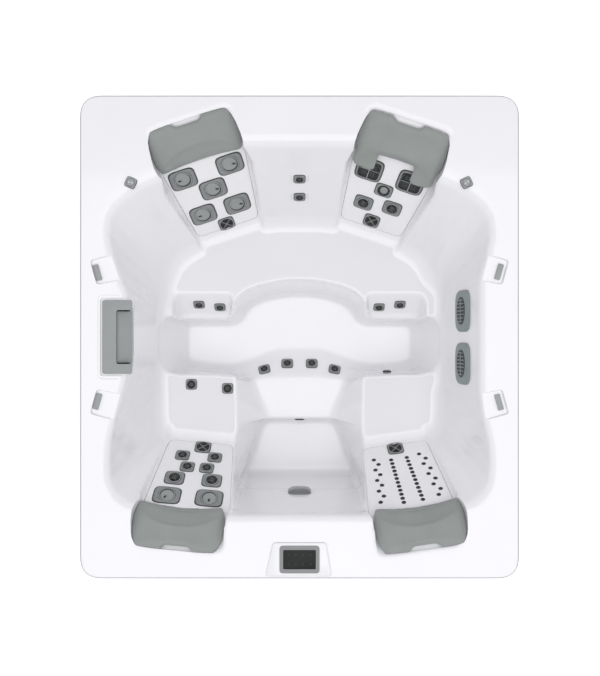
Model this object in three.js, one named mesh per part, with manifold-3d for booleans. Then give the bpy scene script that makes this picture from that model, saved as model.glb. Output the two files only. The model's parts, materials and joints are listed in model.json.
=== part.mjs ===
// An acrylic hot tub for six, seen in the photograph from straight above.
// Millimetres, +Z up, +X to the right and +Y to the back of that view. The origin is the
// middle of the tub on the ground. Jet panels lie in the four corner seat backs.
import * as THREE from 'three';
import { mergeVertices } from 'three/addons/utils/BufferGeometryUtils.js';
import Module from 'manifold-3d';

const wasm = await Module();
wasm.setup();

// Overall sizes of the tub
const tubWidth = 2032;
const tubLength = 2235;
const rimHeight = 914;
const rimCornerRadius = 100;
const rimLipHeight = 60;
const rimLipThickness = 10;
const shellWall = 8;
const rimRound = 12;
const halfWidth = tubWidth / 2;
const halfLength = tubLength / 2;

// Shared small values
const seatGap = 0.3;
const slideGap = 1;
const turnGap = 0.5;
const overrun = 30;
const halfTurn = Math.PI;
const degree = Math.PI / 180;
const cornerSteps = 4;
const cornerShare = 0.48;
const roundSides = 12;
const squareSteps = 2;
const holeSides = 8;
const pinSides = 12;

// Depths below the flat rim, and the rounds along the feet of the walls, limited by the
// room between them
const filletRoomShare = 0.0227;
const wallTopDepth = 20;
const seatDepth = 480;
const footRampDrop = 120;
const floorClearance = 134;
const ridgeRise = 100;
const floorDepth = rimHeight - floorClearance;
const ridgeDepth = floorDepth - ridgeRise;
const footRampDepth = seatDepth + footRampDrop;
const rolloverWidth = 26;
const rolloverDepth = 22;
const seatRound = 46;
const seatFillet = Math.min(seatRound, tubWidth * filletRoomShare, tubLength * filletRoomShare);
const floorFillet = 34;
const ridgeFillet = 22;

// Seat backs: a removable panel reclined in each corner, with a pillow above it
const panelHeight = 442;
const panelThickness = 10;
const panelBottomHalf = 168;
const panelTopHalf = 212;
const panelCorner = 34;
const panelBaseRise = 30;
const panelBaseDepth = seatDepth - panelBaseRise;
const backSeatInset = 542.5;
const frontLeftSeatInset = 565.5;
const frontRightSeatInset = 554.3;
const panelLedge = 14;
const panelWellDepth = 68;
const pillowReach = 178;
const pillowHalf = 215;
const pillowThickness = 46;
const pillowShelfRun = 190;
const shelfCorner = 46;
const upperRecline = 41;
const lowerRecline = 37;

// Jet sizes: the width of the square bezel
const hugeJet = 134;
const lowerHugeJet = 126;
const squareJet = 136;
const mediumJet = 92;
const upperMediumJet = 96;
const smallJet = 62;
const crossGrille = 88;
const shellJet = 60;
const shoulderJet = 53;
const bezelHeight = 7;
const jetDepth = 46;
const shellJetDepth = 40;
const pipeRadius = 11;

// Fittings on the rim and in the walls
const lidWidth = 137;
const lidLength = 340;
const lidThickness = 12;
const lidDepth = 2;
const weirLength = 240;
const weirReach = 72;
const weirThickness = 8;
const weirTilt = 25;
const weirPinRadius = 3;
const weirPinLength = 5;
const wellDepth = 350;
const wellWidth = 105;
const cartridgeRadius = 46;
const cartridgeHeight = 240;
const grilleLength = 205;
const grilleHeight = 188;
const lightSize = 120;
const lightDome = 14;
const lightDepth = 418;
const grilleDepth = 204;
const ridgeSuction = 66;
const ridgeSuctionDrop = 42;
const footwellSuction = 84;
const footwellSuctionRise = 40;
const spoutLength = 64;
const spoutWidth = 24;
const spoutHeight = 10;
const spoutStemRadius = 8;
const spoutStemDepth = 26;
const chuteDepth = 14;
const podHeight = 8;
const bezelWidth = 184;
const bezelDepth = 126;
const screenWidth = 150;
const screenDepth = 88;
const controlThickness = 6;

// Cabinet, frame and base
const cabinetInset = 41;
const cabinetThickness = 16;
const cabinetLipGap = 4;
const grooveCount = 4;
const grooveWidth = 8;
const grooveDepth = 4;
const panHeight = 20;
const railSize = 38;
const lowerRailHeight = 50;
const upperRailHeight = 60;
const upperRailDrop = 124;
const drainHeight = 110;
const drainRadius = 22;
const drainCapRadius = 34;
const drainCapHeight = 20;

// Pump, heater and control box behind the front panel
const motorRadius = 85;
const motorLength = 300;
const voluteRadius = 95;
const voluteLength = 96;
const voluteWall = 10;
const inletRadius = 25;
const shaftRadius = 8;
const shaftLength = 60;
const impellerRadius = 62;
const impellerWidth = 20;
const hubRadius = 16;
const hubLength = 34;
const footHeight = 22;
const footWidth = 60;
const heaterRadius = 38;
const heaterLength = 360;
const unionRadius = 52;
const unionLength = 26;
const boxWidth = 400;
const boxDepth = 130;
const boxHeight = 250;

// Outlines of the basin as shares of half the tub's width and length, left half only,
// from the middle of the back round to the middle of the front. The first list is the
// top of the wall, the second the line where the wall would meet the seats.
const basinTopShares = [
  [-0.128, 0.795], [-0.246, 0.793], [-0.354, 0.77], [-0.463, 0.734], [-0.561, 0.691],
  [-0.65, 0.647], [-0.723, 0.618], [-0.779, 0.588], [-0.83, 0.549], [-0.863, 0.5],
  [-0.872, 0.43], [-0.854, 0.353], [-0.815, 0.25], [-0.782, 0.18], [-0.778, 0.06],
  [-0.778, -0.06], [-0.784, -0.15], [-0.811, -0.25], [-0.844, -0.353], [-0.866, -0.441],
  [-0.872, -0.528], [-0.866, -0.601], [-0.839, -0.65], [-0.793, -0.684], [-0.728, -0.7],
  [-0.61, -0.711], [-0.492, -0.721], [-0.389, -0.732], [-0.34, -0.739], [-0.323, -0.741],
  [-0.313, -0.741], [-0.295, -0.74], [-0.148, -0.738],
];
const basinSeatShares = [
  [-0.108, 0.533], [-0.186, 0.524], [-0.285, 0.498], [-0.379, 0.465], [-0.468, 0.433],
  [-0.543, 0.401], [-0.602, 0.365], [-0.642, 0.324], [-0.667, 0.277], [-0.682, 0.234],
  [-0.692, 0.199], [-0.704, 0.161], [-0.717, 0.116], [-0.727, 0.063], [-0.729, 0.009],
  [-0.729, -0.054], [-0.729, -0.116], [-0.727, -0.179], [-0.724, -0.26], [-0.723, -0.331],
  [-0.72, -0.385], [-0.711, -0.422], [-0.689, -0.44], [-0.657, -0.446], [-0.61, -0.449],
  [-0.551, -0.458], [-0.472, -0.468], [-0.394, -0.478], [-0.34, -0.485], [-0.329, -0.515],
  [-0.325, -0.608], [-0.319, -0.713], [-0.157, -0.715],
];
// The right wall stands further out than the left, where the filter is
const rightWallStartCount = 9;
const rightWallFlatCount = 3;
const rightWallTopShares = [
  [0.863, 0.5], [0.872, 0.43], [0.854, 0.345], [0.822, 0.234], [0.822, 0.163], [0.822, 0.054],
  [0.822, -0.054], [0.822, -0.224], [0.831, -0.29],
];
const rightWallSeatShares = [
  [0.682, 0.262], [0.702, 0.245], [0.724, 0.222], [0.741, 0.195], [0.741, 0.12], [0.741, 0.03],
  [0.741, -0.054], [0.741, -0.2], [0.741, -0.215],
];

// The main footwell: its edge at seat level, at the ridge's height and at the floor
const footwellSeatShares = [
  [-0.064, 0.271], [-0.128, 0.262], [-0.218, 0.243], [-0.285, 0.219], [-0.33, 0.183],
  [-0.354, 0.134], [-0.374, 0.11], [-0.41, 0.102], [-0.63, 0.102], [-0.7, 0.09],
  [-0.729, 0.05], [-0.729, -0.1], [-0.7, -0.16], [-0.63, -0.178], [-0.41, -0.18],
  [-0.354, -0.182], [-0.26, -0.205], [-0.13, -0.199],
];
const footwellRidgeShares = [
  [-0.062, 0.24], [-0.124, 0.232], [-0.206, 0.214], [-0.272, 0.19], [-0.316, 0.155],
  [-0.34, 0.112], [-0.362, 0.09], [-0.4, 0.082], [-0.61, 0.082], [-0.652, 0.07],
  [-0.668, 0.04], [-0.668, -0.1], [-0.652, -0.142], [-0.61, -0.16], [-0.4, -0.172],
  [-0.35, -0.186], [-0.25, -0.212], [-0.128, -0.199],
];
const footwellFloorShares = [
  [-0.06, 0.22], [-0.12, 0.212], [-0.196, 0.196], [-0.258, 0.172], [-0.3, 0.14],
  [-0.324, 0.1], [-0.348, 0.08], [-0.39, 0.073], [-0.59, 0.073], [-0.622, 0.062],
  [-0.636, 0.034], [-0.636, -0.1], [-0.622, -0.13], [-0.59, -0.146], [-0.41, -0.162],
  [-0.34, -0.153], [-0.24, -0.12], [-0.13, -0.079],
];
// The low ridge between the footwells, and the front footwell, at their tops and floors
const ridgeTopShares = [
  [-0.328, -0.16], [-0.328, -0.3], [-0.328, -0.43], [-0.3, -0.47],
];
const ridgeFloorShares = [
  [-0.28, -0.15], [-0.23, -0.27], [-0.178, -0.37], [-0.15, -0.45],
];
const frontWellTopShares = [
  [-0.1, -0.403], [-0.25, -0.403], [-0.318, -0.413], [-0.328, -0.46], [-0.325, -0.6],
  [-0.319, -0.7], [-0.3, -0.7155], [-0.14, -0.7155],
];
const frontWellFloorShares = [
  [-0.1, -0.412], [-0.165, -0.412], [-0.2, -0.43], [-0.228, -0.48], [-0.27, -0.58],
  [-0.31, -0.665], [-0.29, -0.695], [-0.14, -0.697],
];
// Foot ramps in front of the two back corner seats
const rampTopShares = [[-0.35, 0.209], [-0.635, 0.209], [-0.66, 0.17], [-0.66, 0.07], [-0.35, 0.07]];
const rampFloorShares = [[-0.375, 0.108], [-0.62, 0.108], [-0.64, 0.1], [-0.64, 0.07], [-0.375, 0.07]];
// One waterfall chute, the one at the back left
const chuteShares = [[-0.947, 0.314], [-0.83, 0.345], [-0.79, 0.243], [-0.918, 0.22]];
const spoutPlaceShares = [-0.915, 0.268];
const spoutTurn = 16;
// The raised ground of the control panel at the middle of the front rim
const podShares = [[-0.153, -0.985], [-0.122, -0.856], [-0.112, -0.849], [0.112, -0.849],
  [0.122, -0.856], [0.144, -0.985]];
// The filter lid's place and the rest of what stands on the rim and the walls
const filterInset = 174.1;
const filterRecessMargin = 11;
const controlPlaceShares = [0, -0.922];
const shoulderPlaceShares = [0.777, 0.651];
const grillePlaceShares = [0.1145, -0.1165];
const ridgeSuctionShares = [0, -0.4045];
const footwellSuctionShares = [0.474, -0.1685];

// Pillow outline as shares of its half width and its reach, u to one side, b backwards
const pillowShares = [
  [-0.95, 0.02], [-0.5, 0.06], [0, 0.08], [0.5, 0.06], [0.95, 0.02], [1, 0.2], [1, 0.45],
  [0.96, 0.8], [0.86, 0.98], [0.3, 1], [0.22, 0.94], [-0.33, 0.94], [-0.41, 1],
  [-0.86, 0.98], [-0.96, 0.8], [-1, 0.45], [-1, 0.2],
];
const pillowCrownShares = [
  [0, 0.95], [0.2, 0.99], [0.45, 1], [0.72, 0.96], [0.9, 0.86], [1, 0.68],
];
const pillowLegShares = [
  [0.42, -0.28], [0.5, -0.33], [0.84, -0.33], [0.95, -0.22], [0.93, 0.16], [0.42, 0.16],
];

// The four seat backs: the foot of the panel as a share of the half width and at a distance
// from the back or front edge of the rim, the way it faces and its recline
const seatBacks = [
  { key: 'back_left', xShare: -0.366, edgeInset: backSeatInset, turn: 18.5, side: 1,
    recline: upperRecline },
  { key: 'back_right', xShare: 0.366, edgeInset: backSeatInset, turn: -18.5, side: 1,
    recline: upperRecline },
  { key: 'front_left', xShare: -0.505, edgeInset: frontLeftSeatInset, turn: 5.5, side: -1,
    recline: lowerRecline },
  { key: 'front_right', xShare: 0.491, edgeInset: frontRightSeatInset, turn: -8, side: -1,
    recline: lowerRecline },
];
// Jets on the panels: kind of jet, then its place as shares of the panel's top half width
// and of its height
const panelJets = {
  back_left: [
    ['spinner', hugeJet, -0.58, 0.832], ['spinner', hugeJet, 0.55, 0.832],
    ['spinner', hugeJet, -0.01, 0.588], ['spinner', hugeJet, -0.455, 0.294],
    ['spinner', hugeJet, 0.4, 0.288],
  ],
  back_right: [
    ['window', squareJet, -0.5, 0.765], ['window', squareJet, 0.495, 0.77],
    ['directional', mediumJet, -0.02, 0.56], ['twin', upperMediumJet, -0.37, 0.312],
    ['twin', upperMediumJet, 0.32, 0.36],
  ],
  front_left: [
    ['single', smallJet, 0.38, 0.235], ['single', smallJet, -0.4, 0.222],
    ['single', smallJet, 0.2, 0.403], ['single', smallJet, -0.26, 0.396],
    ['twin', mediumJet, 0.43, 0.585], ['twin', mediumJet, -0.44, 0.572],
    ['spinner', lowerHugeJet, 0.5, 0.838], ['spinner', lowerHugeJet, -0.46, 0.826],
  ],
  front_right: [],
};
const crossPlaceShares = {
  back_left: [-0.01, 0.11], back_right: [-0.035, 0.122], front_left: [-0.03, 0.115],
  front_right: [0.01, 0.115],
};
// Jets in the shell, each group joined by its pipe: places as shares of half the tub, and
// the way fittings look, as lean above level and heading in degrees
const calfJetShares = [[-0.562, -0.224], [-0.374, -0.243]];
const footJetXShares = [-0.531, -0.422];
const footJetShare = 0.525;
const backWallJetDepths = [188, 284];
const ridgeJetShares = [[-0.194, -0.163], [-0.068, -0.134], [0.068, -0.134], [0.194, -0.163]];
const ridgeJetDrop = 46;
const ridgeJetLean = 50;
const ridgeJetHeadings = [105, 94, 86, 75];
const ridgeSuctionLean = 4;
const footwellSuctionLean = 6;
const shoulderTurnShare = 0.45;

// Colours and finishes
const finish = (color, roughness, metalness) => ({ color, roughness, metalness });
const acrylicWhite = finish(0xf6f6f8, 0.12, 0);
const pillowGrey = finish(0x969c98, 0.7, 0);
const jetGrey = finish(0x6c7172, 0.35, 0.1);
const trimGrey = finish(0x9fa5a2, 0.45, 0);
const screenBlack = finish(0x15171a, 0.1, 0);
const bezelGrey = finish(0xb9bdbb, 0.4, 0);
const cabinetGrey = finish(0x55585a, 0.7, 0);
const plasticBlack = finish(0x222426, 0.6, 0);
const steel = finish(0xb8bcc0, 0.3, 1);
const lensClear = finish(0xdfe3e8, 0.2, 0);
const filterWhite = finish(0xe8ebee, 0.8, 0);

// Basic helpers
const depthToZ = (depth) => rimHeight - depth;
const fromShares = (shares) => shares.map(([x, y]) => [x * halfWidth, y * halfLength]);
const mirrorX = (points) => points.map(([x, y]) => [-x, y]).reverse();

function toSolid(geometry) {
  const bare = geometry.clone();
  bare.deleteAttribute('normal');
  bare.deleteAttribute('uv');
  const merged = mergeVertices(bare, seatGap / 1000);
  const triVerts = new Uint32Array(merged.index.array);
  const vertProperties = new Float32Array(merged.attributes.position.array);
  return new wasm.Manifold(new wasm.Mesh({ numProp: 3, vertProperties, triVerts }));
}

function toGeometry(solid) {
  const mesh = solid.getMesh();
  const geometry = new THREE.BufferGeometry();
  geometry.setAttribute('position', new THREE.BufferAttribute(mesh.vertProperties, 3));
  geometry.setIndex(new THREE.BufferAttribute(mesh.triVerts, 1));
  geometry.computeVertexNormals();
  return geometry;
}

// A closed skin over rings of equal point count, each ring { z, points } level in z
function loftGeometry(rings) {
  const count = rings[0].points.length;
  const positions = rings.flatMap((ring) => ring.points.flatMap(([x, y]) => [x, y, ring.z]));
  const faces = [];
  for (let r = 0; r < rings.length - 1; r += 1) {
    for (let i = 0; i < count; i += 1) {
      const next = (i + 1) % count;
      const a = r * count + i;
      const b = r * count + next;
      faces.push(a, b, b + count, a, b + count, a + count);
    }
  }
  const cap = (ring) => THREE.ShapeUtils.triangulateShape(
    ring.points.map(([x, y]) => new THREE.Vector2(x, y)), []);
  cap(rings[0]).forEach(([a, b, c]) => faces.push(a, c, b));
  const last = (rings.length - 1) * count;
  cap(rings[rings.length - 1]).forEach(([a, b, c]) => faces.push(last + a, last + b, last + c));
  const geometry = new THREE.BufferGeometry();
  geometry.setAttribute('position', new THREE.Float32BufferAttribute(positions, 3));
  geometry.setIndex(faces);
  return geometry;
}

const ringArea = (points) => THREE.ShapeUtils.area(points.map(([x, y]) => new THREE.Vector2(x, y)));
const anticlockwise = (points) => (ringArea(points) < 0 ? [...points].reverse() : points);

// Rings are sorted upwards and turned anticlockwise so that the skin faces out
function loft(rings) {
  const sorted = [...rings].sort((a, b) => a.z - b.z);
  return toSolid(loftGeometry(sorted.map(({ z, points }) => ({ z, points: anticlockwise(points) }))));
}

// Corners of an anticlockwise outline rounded by an arc of the given radius
function rounded(points, radius, steps = cornerSteps) {
  return points.flatMap((point, i) => {
    const corner = new THREE.Vector2(...point);
    const before = new THREE.Vector2(...points[(i + points.length - 1) % points.length]).sub(corner);
    const after = new THREE.Vector2(...points[(i + 1) % points.length]).sub(corner);
    const reach = Math.min(radius, before.length() * cornerShare, after.length() * cornerShare);
    const start = corner.clone().addScaledVector(before.normalize(), reach);
    const end = corner.clone().addScaledVector(after.normalize(), reach);
    const curve = new THREE.QuadraticBezierCurve(start, corner, end);
    return curve.getPoints(steps).map((p) => [p.x, p.y]);
  });
}

const rectangle = (width, height) => [
  [-width / 2, -height / 2], [width / 2, -height / 2], [width / 2, height / 2], [-width / 2, height / 2],
];

// Every point pushed outwards along the mean of its two edges' normals
function grown(outline, distance) {
  const points = anticlockwise(outline);
  return points.map((point, i) => {
    const before = points[(i + points.length - 1) % points.length];
    const after = points[(i + 1) % points.length];
    const along = new THREE.Vector2(after[0] - before[0], after[1] - before[1]).normalize();
    return [point[0] + along.y * distance, point[1] - along.x * distance];
  });
}

const between = (from, to, part) => from.map((p, i) => [
  p[0] + (to[i][0] - p[0]) * part, p[1] + (to[i][1] - p[1]) * part,
]);
const scaledOutline = (points, share) => points.map(([x, y]) => [x * share, y * share]);
const prism = (points, low, high) => loft([{ z: low, points }, { z: high, points }]);
const block = (width, depth, height) => toSolid(new THREE.BoxGeometry(width, depth, height));
const movedBlock = (width, depth, height, x, y, z) => block(width, depth, height).translate([x, y, z]);

// A round bar along local z from low to high
function bar(radius, low, high, sides = roundSides) {
  const profile = [[0, low], [radius, low], [radius, high], [0, high]];
  const points = profile.map(([r, z]) => new THREE.Vector2(r, z));
  return toSolid(new THREE.LatheGeometry(points, sides)).rotate([90, 0, 0]);
}

// Radius of a hole with so many sides that a bar of as many sides turns in it
const turnHole = (radius, sides = roundSides) => (radius + turnGap) / Math.cos(halfTurn / sides);

// The matrix that stands a local z axis on a point, along a normal; local y leans upwards
function standing(point, normal, lean = [0, 0, 1]) {
  const z = new THREE.Vector3(...normal).normalize();
  const x = new THREE.Vector3(...lean).cross(z).normalize();
  const y = z.clone().cross(x);
  const matrix = new THREE.Matrix4().makeBasis(x, y, z);
  return matrix.setPosition(new THREE.Vector3(...point));
}

const placedSolid = (solid, matrix) => solid.transform(matrix.elements);
const joined = (solids) => solids.reduce((whole, solid) => whole.add(solid));
const cutBy = (solid, cuts) => cuts.reduce((whole, cut) => whole.subtract(cut), solid);

const tub = new THREE.Group();
tub.name = 'hot_tub';

function addPiece(name, solid, look, matrix = new THREE.Matrix4()) {
  const material = new THREE.MeshStandardMaterial(look);
  const mesh = new THREE.Mesh(toGeometry(solid), material);
  mesh.name = name;
  matrix.decompose(mesh.position, mesh.quaternion, mesh.scale);
  tub.add(mesh);
  return mesh;
}

// Hollows of the shell. Each is a list of rings from the top down, and its outside is the
// same list grown by the wall.
function hollow(rings) {
  const last = rings.length - 1;
  const inside = loft(rings);
  const outsideRings = rings.map((ring, i) => ({
    z: ring.z - (i === last ? shellWall : 0),
    points: grown(ring.points, shellWall),
  }));
  outsideRings[0].z = rimHeight - shellWall / 2;
  const kept = outsideRings.filter((ring, i) => i === 0 || ring.z < rimHeight - shellWall);
  return { inside, outside: loft(kept) };
}

const wholeOutline = (left, right = mirrorX(left)) => [...left, ...right];

function basinOutlines() {
  const swap = (left, wallShares) => mirrorX(left.map((point, i) => {
    const wall = wallShares[i - rightWallStartCount];
    return wall ? [-wall[0] * halfWidth, wall[1] * halfLength] : point;
  }));
  const topLeft = fromShares(basinTopShares);
  const seatLeft = fromShares(basinSeatShares);
  return {
    top: wholeOutline(topLeft, swap(topLeft, rightWallTopShares)),
    seat: wholeOutline(seatLeft, swap(seatLeft, rightWallSeatShares)),
  };
}

const basin = basinOutlines();
const basinAt = (depth) => between(basin.top, basin.seat,
  (depth - wallTopDepth) / (seatDepth - wallTopDepth));

function basinHollow() {
  return hollow([
    { z: rimHeight + overrun, points: grown(basin.top, rolloverWidth) },
    { z: rimHeight, points: grown(basin.top, rolloverWidth) },
    { z: rimHeight - rolloverDepth * 0.2, points: grown(basin.top, rolloverWidth * 0.45) },
    { z: depthToZ(rolloverDepth), points: basinAt(rolloverDepth) },
    { z: depthToZ(seatDepth - seatFillet * 1.2), points: basinAt(seatDepth - seatFillet * 1.2) },
    { z: depthToZ(seatDepth - seatFillet * 0.3), points: grown(basinAt(seatDepth), -seatFillet * 0.2) },
    { z: depthToZ(seatDepth), points: grown(basin.seat, -seatFillet) },
  ]);
}

// Where a seat back's panel meets its pillow, seen from above
function seatBackFrame(seat) {
  const turn = seat.turn * degree;
  const facing = new THREE.Vector3(Math.sin(turn), -seat.side * Math.cos(turn), 0);
  const up = new THREE.Vector3(0, 0, 1);
  const lean = seat.recline * degree;
  const along = up.clone().multiplyScalar(Math.cos(lean)).addScaledVector(facing, -Math.sin(lean));
  const normal = facing.clone().multiplyScalar(Math.cos(lean)).addScaledVector(up, Math.sin(lean));
  const foot = new THREE.Vector3(seat.xShare * halfWidth, seat.side * (halfLength - seat.edgeInset),
    depthToZ(panelBaseDepth));
  const head = foot.clone().addScaledVector(along, panelHeight);
  const shelfTilt = Math.atan((rimHeight - rimRound / 2 - head.z) / pillowShelfRun);
  return { facing, up, lean, along, normal, foot, head, shelfTilt };
}

function seatBackHollow(seat) {
  const { facing, lean, head } = seatBackFrame(seat);
  const side = new THREE.Vector3(-facing.y, facing.x, 0);
  const margin = panelCorner / 3;
  const plan = (halfBack, back, front, radius = margin) => {
    const corners = [[-halfBack, front], [halfBack, front], [halfBack, back], [-halfBack, back]];
    const flat = rounded(corners, radius, squareSteps);
    return flat.map(([u, b]) => [
      head.x + side.x * u - facing.x * b, head.y + side.y * u - facing.y * b,
    ]);
  };
  const shelfTop = rimHeight - rimRound / 2;
  const backAt = (z) => (z - head.z) * Math.tan(lean);
  const seatZ = depthToZ(seatDepth);
  const filletZ = seatZ + seatFillet * 1.2;
  const softZ = seatZ + seatFillet * 0.3;
  const footHalf = panelBottomHalf + margin;
  const topHalf = panelTopHalf + margin;
  const front = -pillowShelfRun * 1.3;
  const low = backAt(seatZ) - seatFillet * 7;
  const mouth = plan(topHalf + rolloverWidth / 2, pillowShelfRun + rolloverWidth / 2, front, shelfCorner);
  return hollow([
    { z: rimHeight + overrun, points: mouth },
    { z: rimHeight, points: mouth },
    { z: shelfTop, points: plan(topHalf, pillowShelfRun, front) },
    { z: head.z, points: plan(topHalf, 0, front) },
    { z: filletZ, points: plan(footHalf, backAt(filletZ), low) },
    { z: softZ, points: plan(footHalf, backAt(softZ) - seatFillet * 0.12, low) },
    { z: seatZ, points: plan(footHalf - seatFillet / 2, backAt(seatZ) - seatFillet, low) },
  ]);
}

const mirroredOutline = (shares) => wholeOutline(fromShares(shares));

function footwellHollow() {
  const floor = mirroredOutline(footwellFloorShares);
  const ridge = mirroredOutline(footwellRidgeShares);
  const seatEdge = mirroredOutline(footwellSeatShares);
  const low = between(ridge, floor, 0.7);
  return hollow([
    { z: depthToZ(seatDepth - overrun), points: seatEdge },
    { z: depthToZ(seatDepth), points: seatEdge },
    { z: depthToZ(ridgeDepth), points: ridge },
    { z: depthToZ(floorDepth - floorFillet), points: low },
    { z: depthToZ(floorDepth), points: grown(floor, -floorFillet / 2) },
  ]);
}

function ridgeHollow() {
  const edge = mirroredOutline(ridgeTopShares);
  const floor = mirroredOutline(ridgeFloorShares);
  return hollow([
    { z: depthToZ(seatDepth - overrun), points: edge },
    { z: depthToZ(seatDepth), points: edge },
    { z: depthToZ(ridgeDepth - ridgeFillet), points: between(edge, floor, 0.85) },
    { z: depthToZ(ridgeDepth), points: grown(floor, -ridgeFillet / 2) },
  ]);
}

function frontWellHollow() {
  const edge = mirroredOutline(frontWellTopShares);
  const floor = mirroredOutline(frontWellFloorShares);
  return hollow([
    { z: depthToZ(seatDepth - overrun), points: edge },
    { z: depthToZ(seatDepth), points: edge },
    { z: depthToZ(floorDepth - floorFillet), points: between(edge, floor, 0.9) },
    { z: depthToZ(floorDepth), points: grown(floor, -floorFillet / 2) },
  ]);
}

function rampHollow(sign) {
  const edge = fromShares(rampTopShares);
  const floor = fromShares(rampFloorShares);
  const flip = (points) => (sign < 0 ? points : mirrorX(points));
  return hollow([
    { z: depthToZ(seatDepth - overrun), points: flip(edge) },
    { z: depthToZ(seatDepth), points: flip(edge) },
    { z: depthToZ(footRampDepth), points: flip(floor) },
  ]);
}

function filterWellHollow() {
  const centre = filterInset - halfWidth;
  const wellX = centre - lidWidth / 2 + wellWidth / 2 + shellWall / 2;
  const outline = rounded(rectangle(wellWidth, lidLength - shellWall * 2), shellWall * 2, squareSteps)
    .map(([x, y]) => [x + wellX, y]);
  return { wellX, hollow: hollow([
    { z: rimHeight + overrun, points: outline },
    { z: rimHeight - lidDepth, points: outline },
    { z: depthToZ(wellDepth), points: outline },
  ]) };
}

const filterWell = filterWellHollow();
const filterX = filterInset - halfWidth;

// Outline of the shallow recess for the lid
function filterRecess(extra = 0) {
  const width = lidWidth + filterRecessMargin + extra * 2;
  const length = lidLength + filterRecessMargin * 2 + extra * 2;
  return rounded(rectangle(width, length), shellWall * 2, squareSteps)
    .map(([x, y]) => [x + filterX - filterRecessMargin / 2, y]);
}

// The recess, and the mouth that lets water into the well
function filterCuts() {
  const mouth = movedBlock(lidWidth, weirLength + shellWall * 2 + weirPinLength, weirReach,
    filterX + lidWidth / 2, 0, rimHeight - lidThickness - weirReach / 2);
  return [prism(filterRecess(), rimHeight - lidThickness - lidDepth, rimHeight + overrun), mouth];
}

const filterWalls = () => prism(filterRecess(shellWall),
  rimHeight - lidThickness - lidDepth - shellWall, rimHeight - shellWall / 2);

const fourWays = [[1, 1], [-1, 1], [1, -1], [-1, -1]];
const chuteOutline = ([sx, sy]) => {
  const points = fromShares(chuteShares).map(([x, y]) => [x * sx, y * sy]);
  return rounded(points, shellWall, squareSteps);
};
const chuteCut = (way) => prism(chuteOutline(way), rimHeight - chuteDepth, rimHeight + overrun);
const chuteFloor = (way) => prism(grown(chuteOutline(way), shellWall),
  rimHeight - chuteDepth - shellWall, rimHeight - shellWall / 2);

// Panel outline in its own frame: x to one side, y up the slope from the foot
function panelOutline(extra = 0) {
  const outline = rounded([
    [-panelBottomHalf, 0], [panelBottomHalf, 0], [panelTopHalf, panelHeight], [-panelTopHalf, panelHeight],
  ], panelCorner, squareSteps + 1);
  return grown(outline, extra);
}
const panelMatrix = (seat) => {
  const { foot, normal, along } = seatBackFrame(seat);
  return standing(foot.toArray(), normal.toArray(), along.toArray());
};
const squareOutline = (size, height = size) => rounded(rectangle(size, height),
  Math.min(size, height) * 0.34, squareSteps);
const jetPlace = (jet) => [jet[2] * panelTopHalf, jet[3] * panelHeight];
const insertRadius = (jet) => jet[1] * 0.36;
const barrelRadius = (jet) => jet[1] * 0.27;

// A fitting of the shell: a square flange on the surface with a barrel through it
function fittingFlange(size, height, thickness, domeRise = 0) {
  const outline = squareOutline(size, height);
  const rings = [
    { z: seatGap, points: outline },
    { z: thickness, points: outline },
    { z: thickness + domeRise / 2, points: scaledOutline(outline, 0.93) },
    { z: thickness + domeRise, points: scaledOutline(outline, 0.7) },
  ];
  return loft(domeRise > 0 ? rings : rings.slice(0, 2));
}

// A jet's flange with its round throat
function shellJetSolid(size) {
  const throat = bar(size * 0.28, bezelHeight / 2, bezelHeight + overrun, holeSides);
  const flange = fittingFlange(size, size, bezelHeight).subtract(throat);
  return flange.add(bar(size / 3, -shellJetDepth, bezelHeight / 2, holeSides));
}

// A point on the basin's wall between two outline points, with the wall's own normal
function wallPlace(index, share, depth) {
  const next = (index + 1) % basin.top.length;
  const at = (level) => {
    const outline = basinAt(level);
    return new THREE.Vector3(
      outline[index][0] + (outline[next][0] - outline[index][0]) * share,
      outline[index][1] + (outline[next][1] - outline[index][1]) * share, depthToZ(level));
  };
  const across = new THREE.Vector3(basin.top[next][0] - basin.top[index][0],
    basin.top[next][1] - basin.top[index][1], 0);
  const slope = at(seatDepth).sub(at(wallTopDepth));
  const normal = across.cross(slope).normalize();
  const inwards = normal.z > 0 ? normal : normal.negate();
  return standing(at(depth).toArray(), inwards.toArray());
}

const shellSeats = [];
const spoutHoles = [];
// Notes the hole that a fitting needs in the shell, and on curved ground its level pad
function needSeat(matrix, holeRadius, depth, padSize = 0) {
  shellSeats.push({ matrix, holeRadius, depth, padSize });
}

const headingNormal = (lean, heading) => [
  Math.cos(lean * degree) * Math.cos(heading * degree),
  Math.cos(lean * degree) * Math.sin(heading * degree),
  Math.sin(lean * degree),
];

// Places on the sloping ramp in front of a back corner seat
function rampPlaces(sign) {
  const run = (rampTopShares[0][1] - rampFloorShares[0][1]) * halfLength;
  const y = rampTopShares[0][1] * halfLength - run * footJetShare;
  const normal = [0, seatDepth - footRampDepth, run];
  const z = depthToZ(seatDepth + footRampDrop * footJetShare);
  return footJetXShares.map((x) => standing([-sign * x * halfWidth, y, z], normal));
}

function linkPipe(from, to, radius = pipeRadius) {
  const start = new THREE.Vector3(0, 0, -shellJetDepth + radius).applyMatrix4(from);
  const end = new THREE.Vector3(0, 0, -shellJetDepth + radius).applyMatrix4(to);
  const span = end.clone().sub(start);
  const matrix = standing(start.toArray(), span.toArray(), [0.1, 1, 0.3]);
  return placedSolid(bar(radius, 0, span.length(), holeSides), matrix);
}

function addShellJets(key, matrices, size, curved = false) {
  const jets = matrices.map((matrix) => placedSolid(shellJetSolid(size), matrix));
  const pipes = matrices.slice(1).map((matrix, i) => linkPipe(matrices[i], matrix));
  matrices.forEach((matrix) => needSeat(matrix, size / 3 + turnGap, shellJetDepth, curved ? size : 0));
  addPiece(key, joined([...jets, ...pipes]), jetGrey);
}

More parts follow.
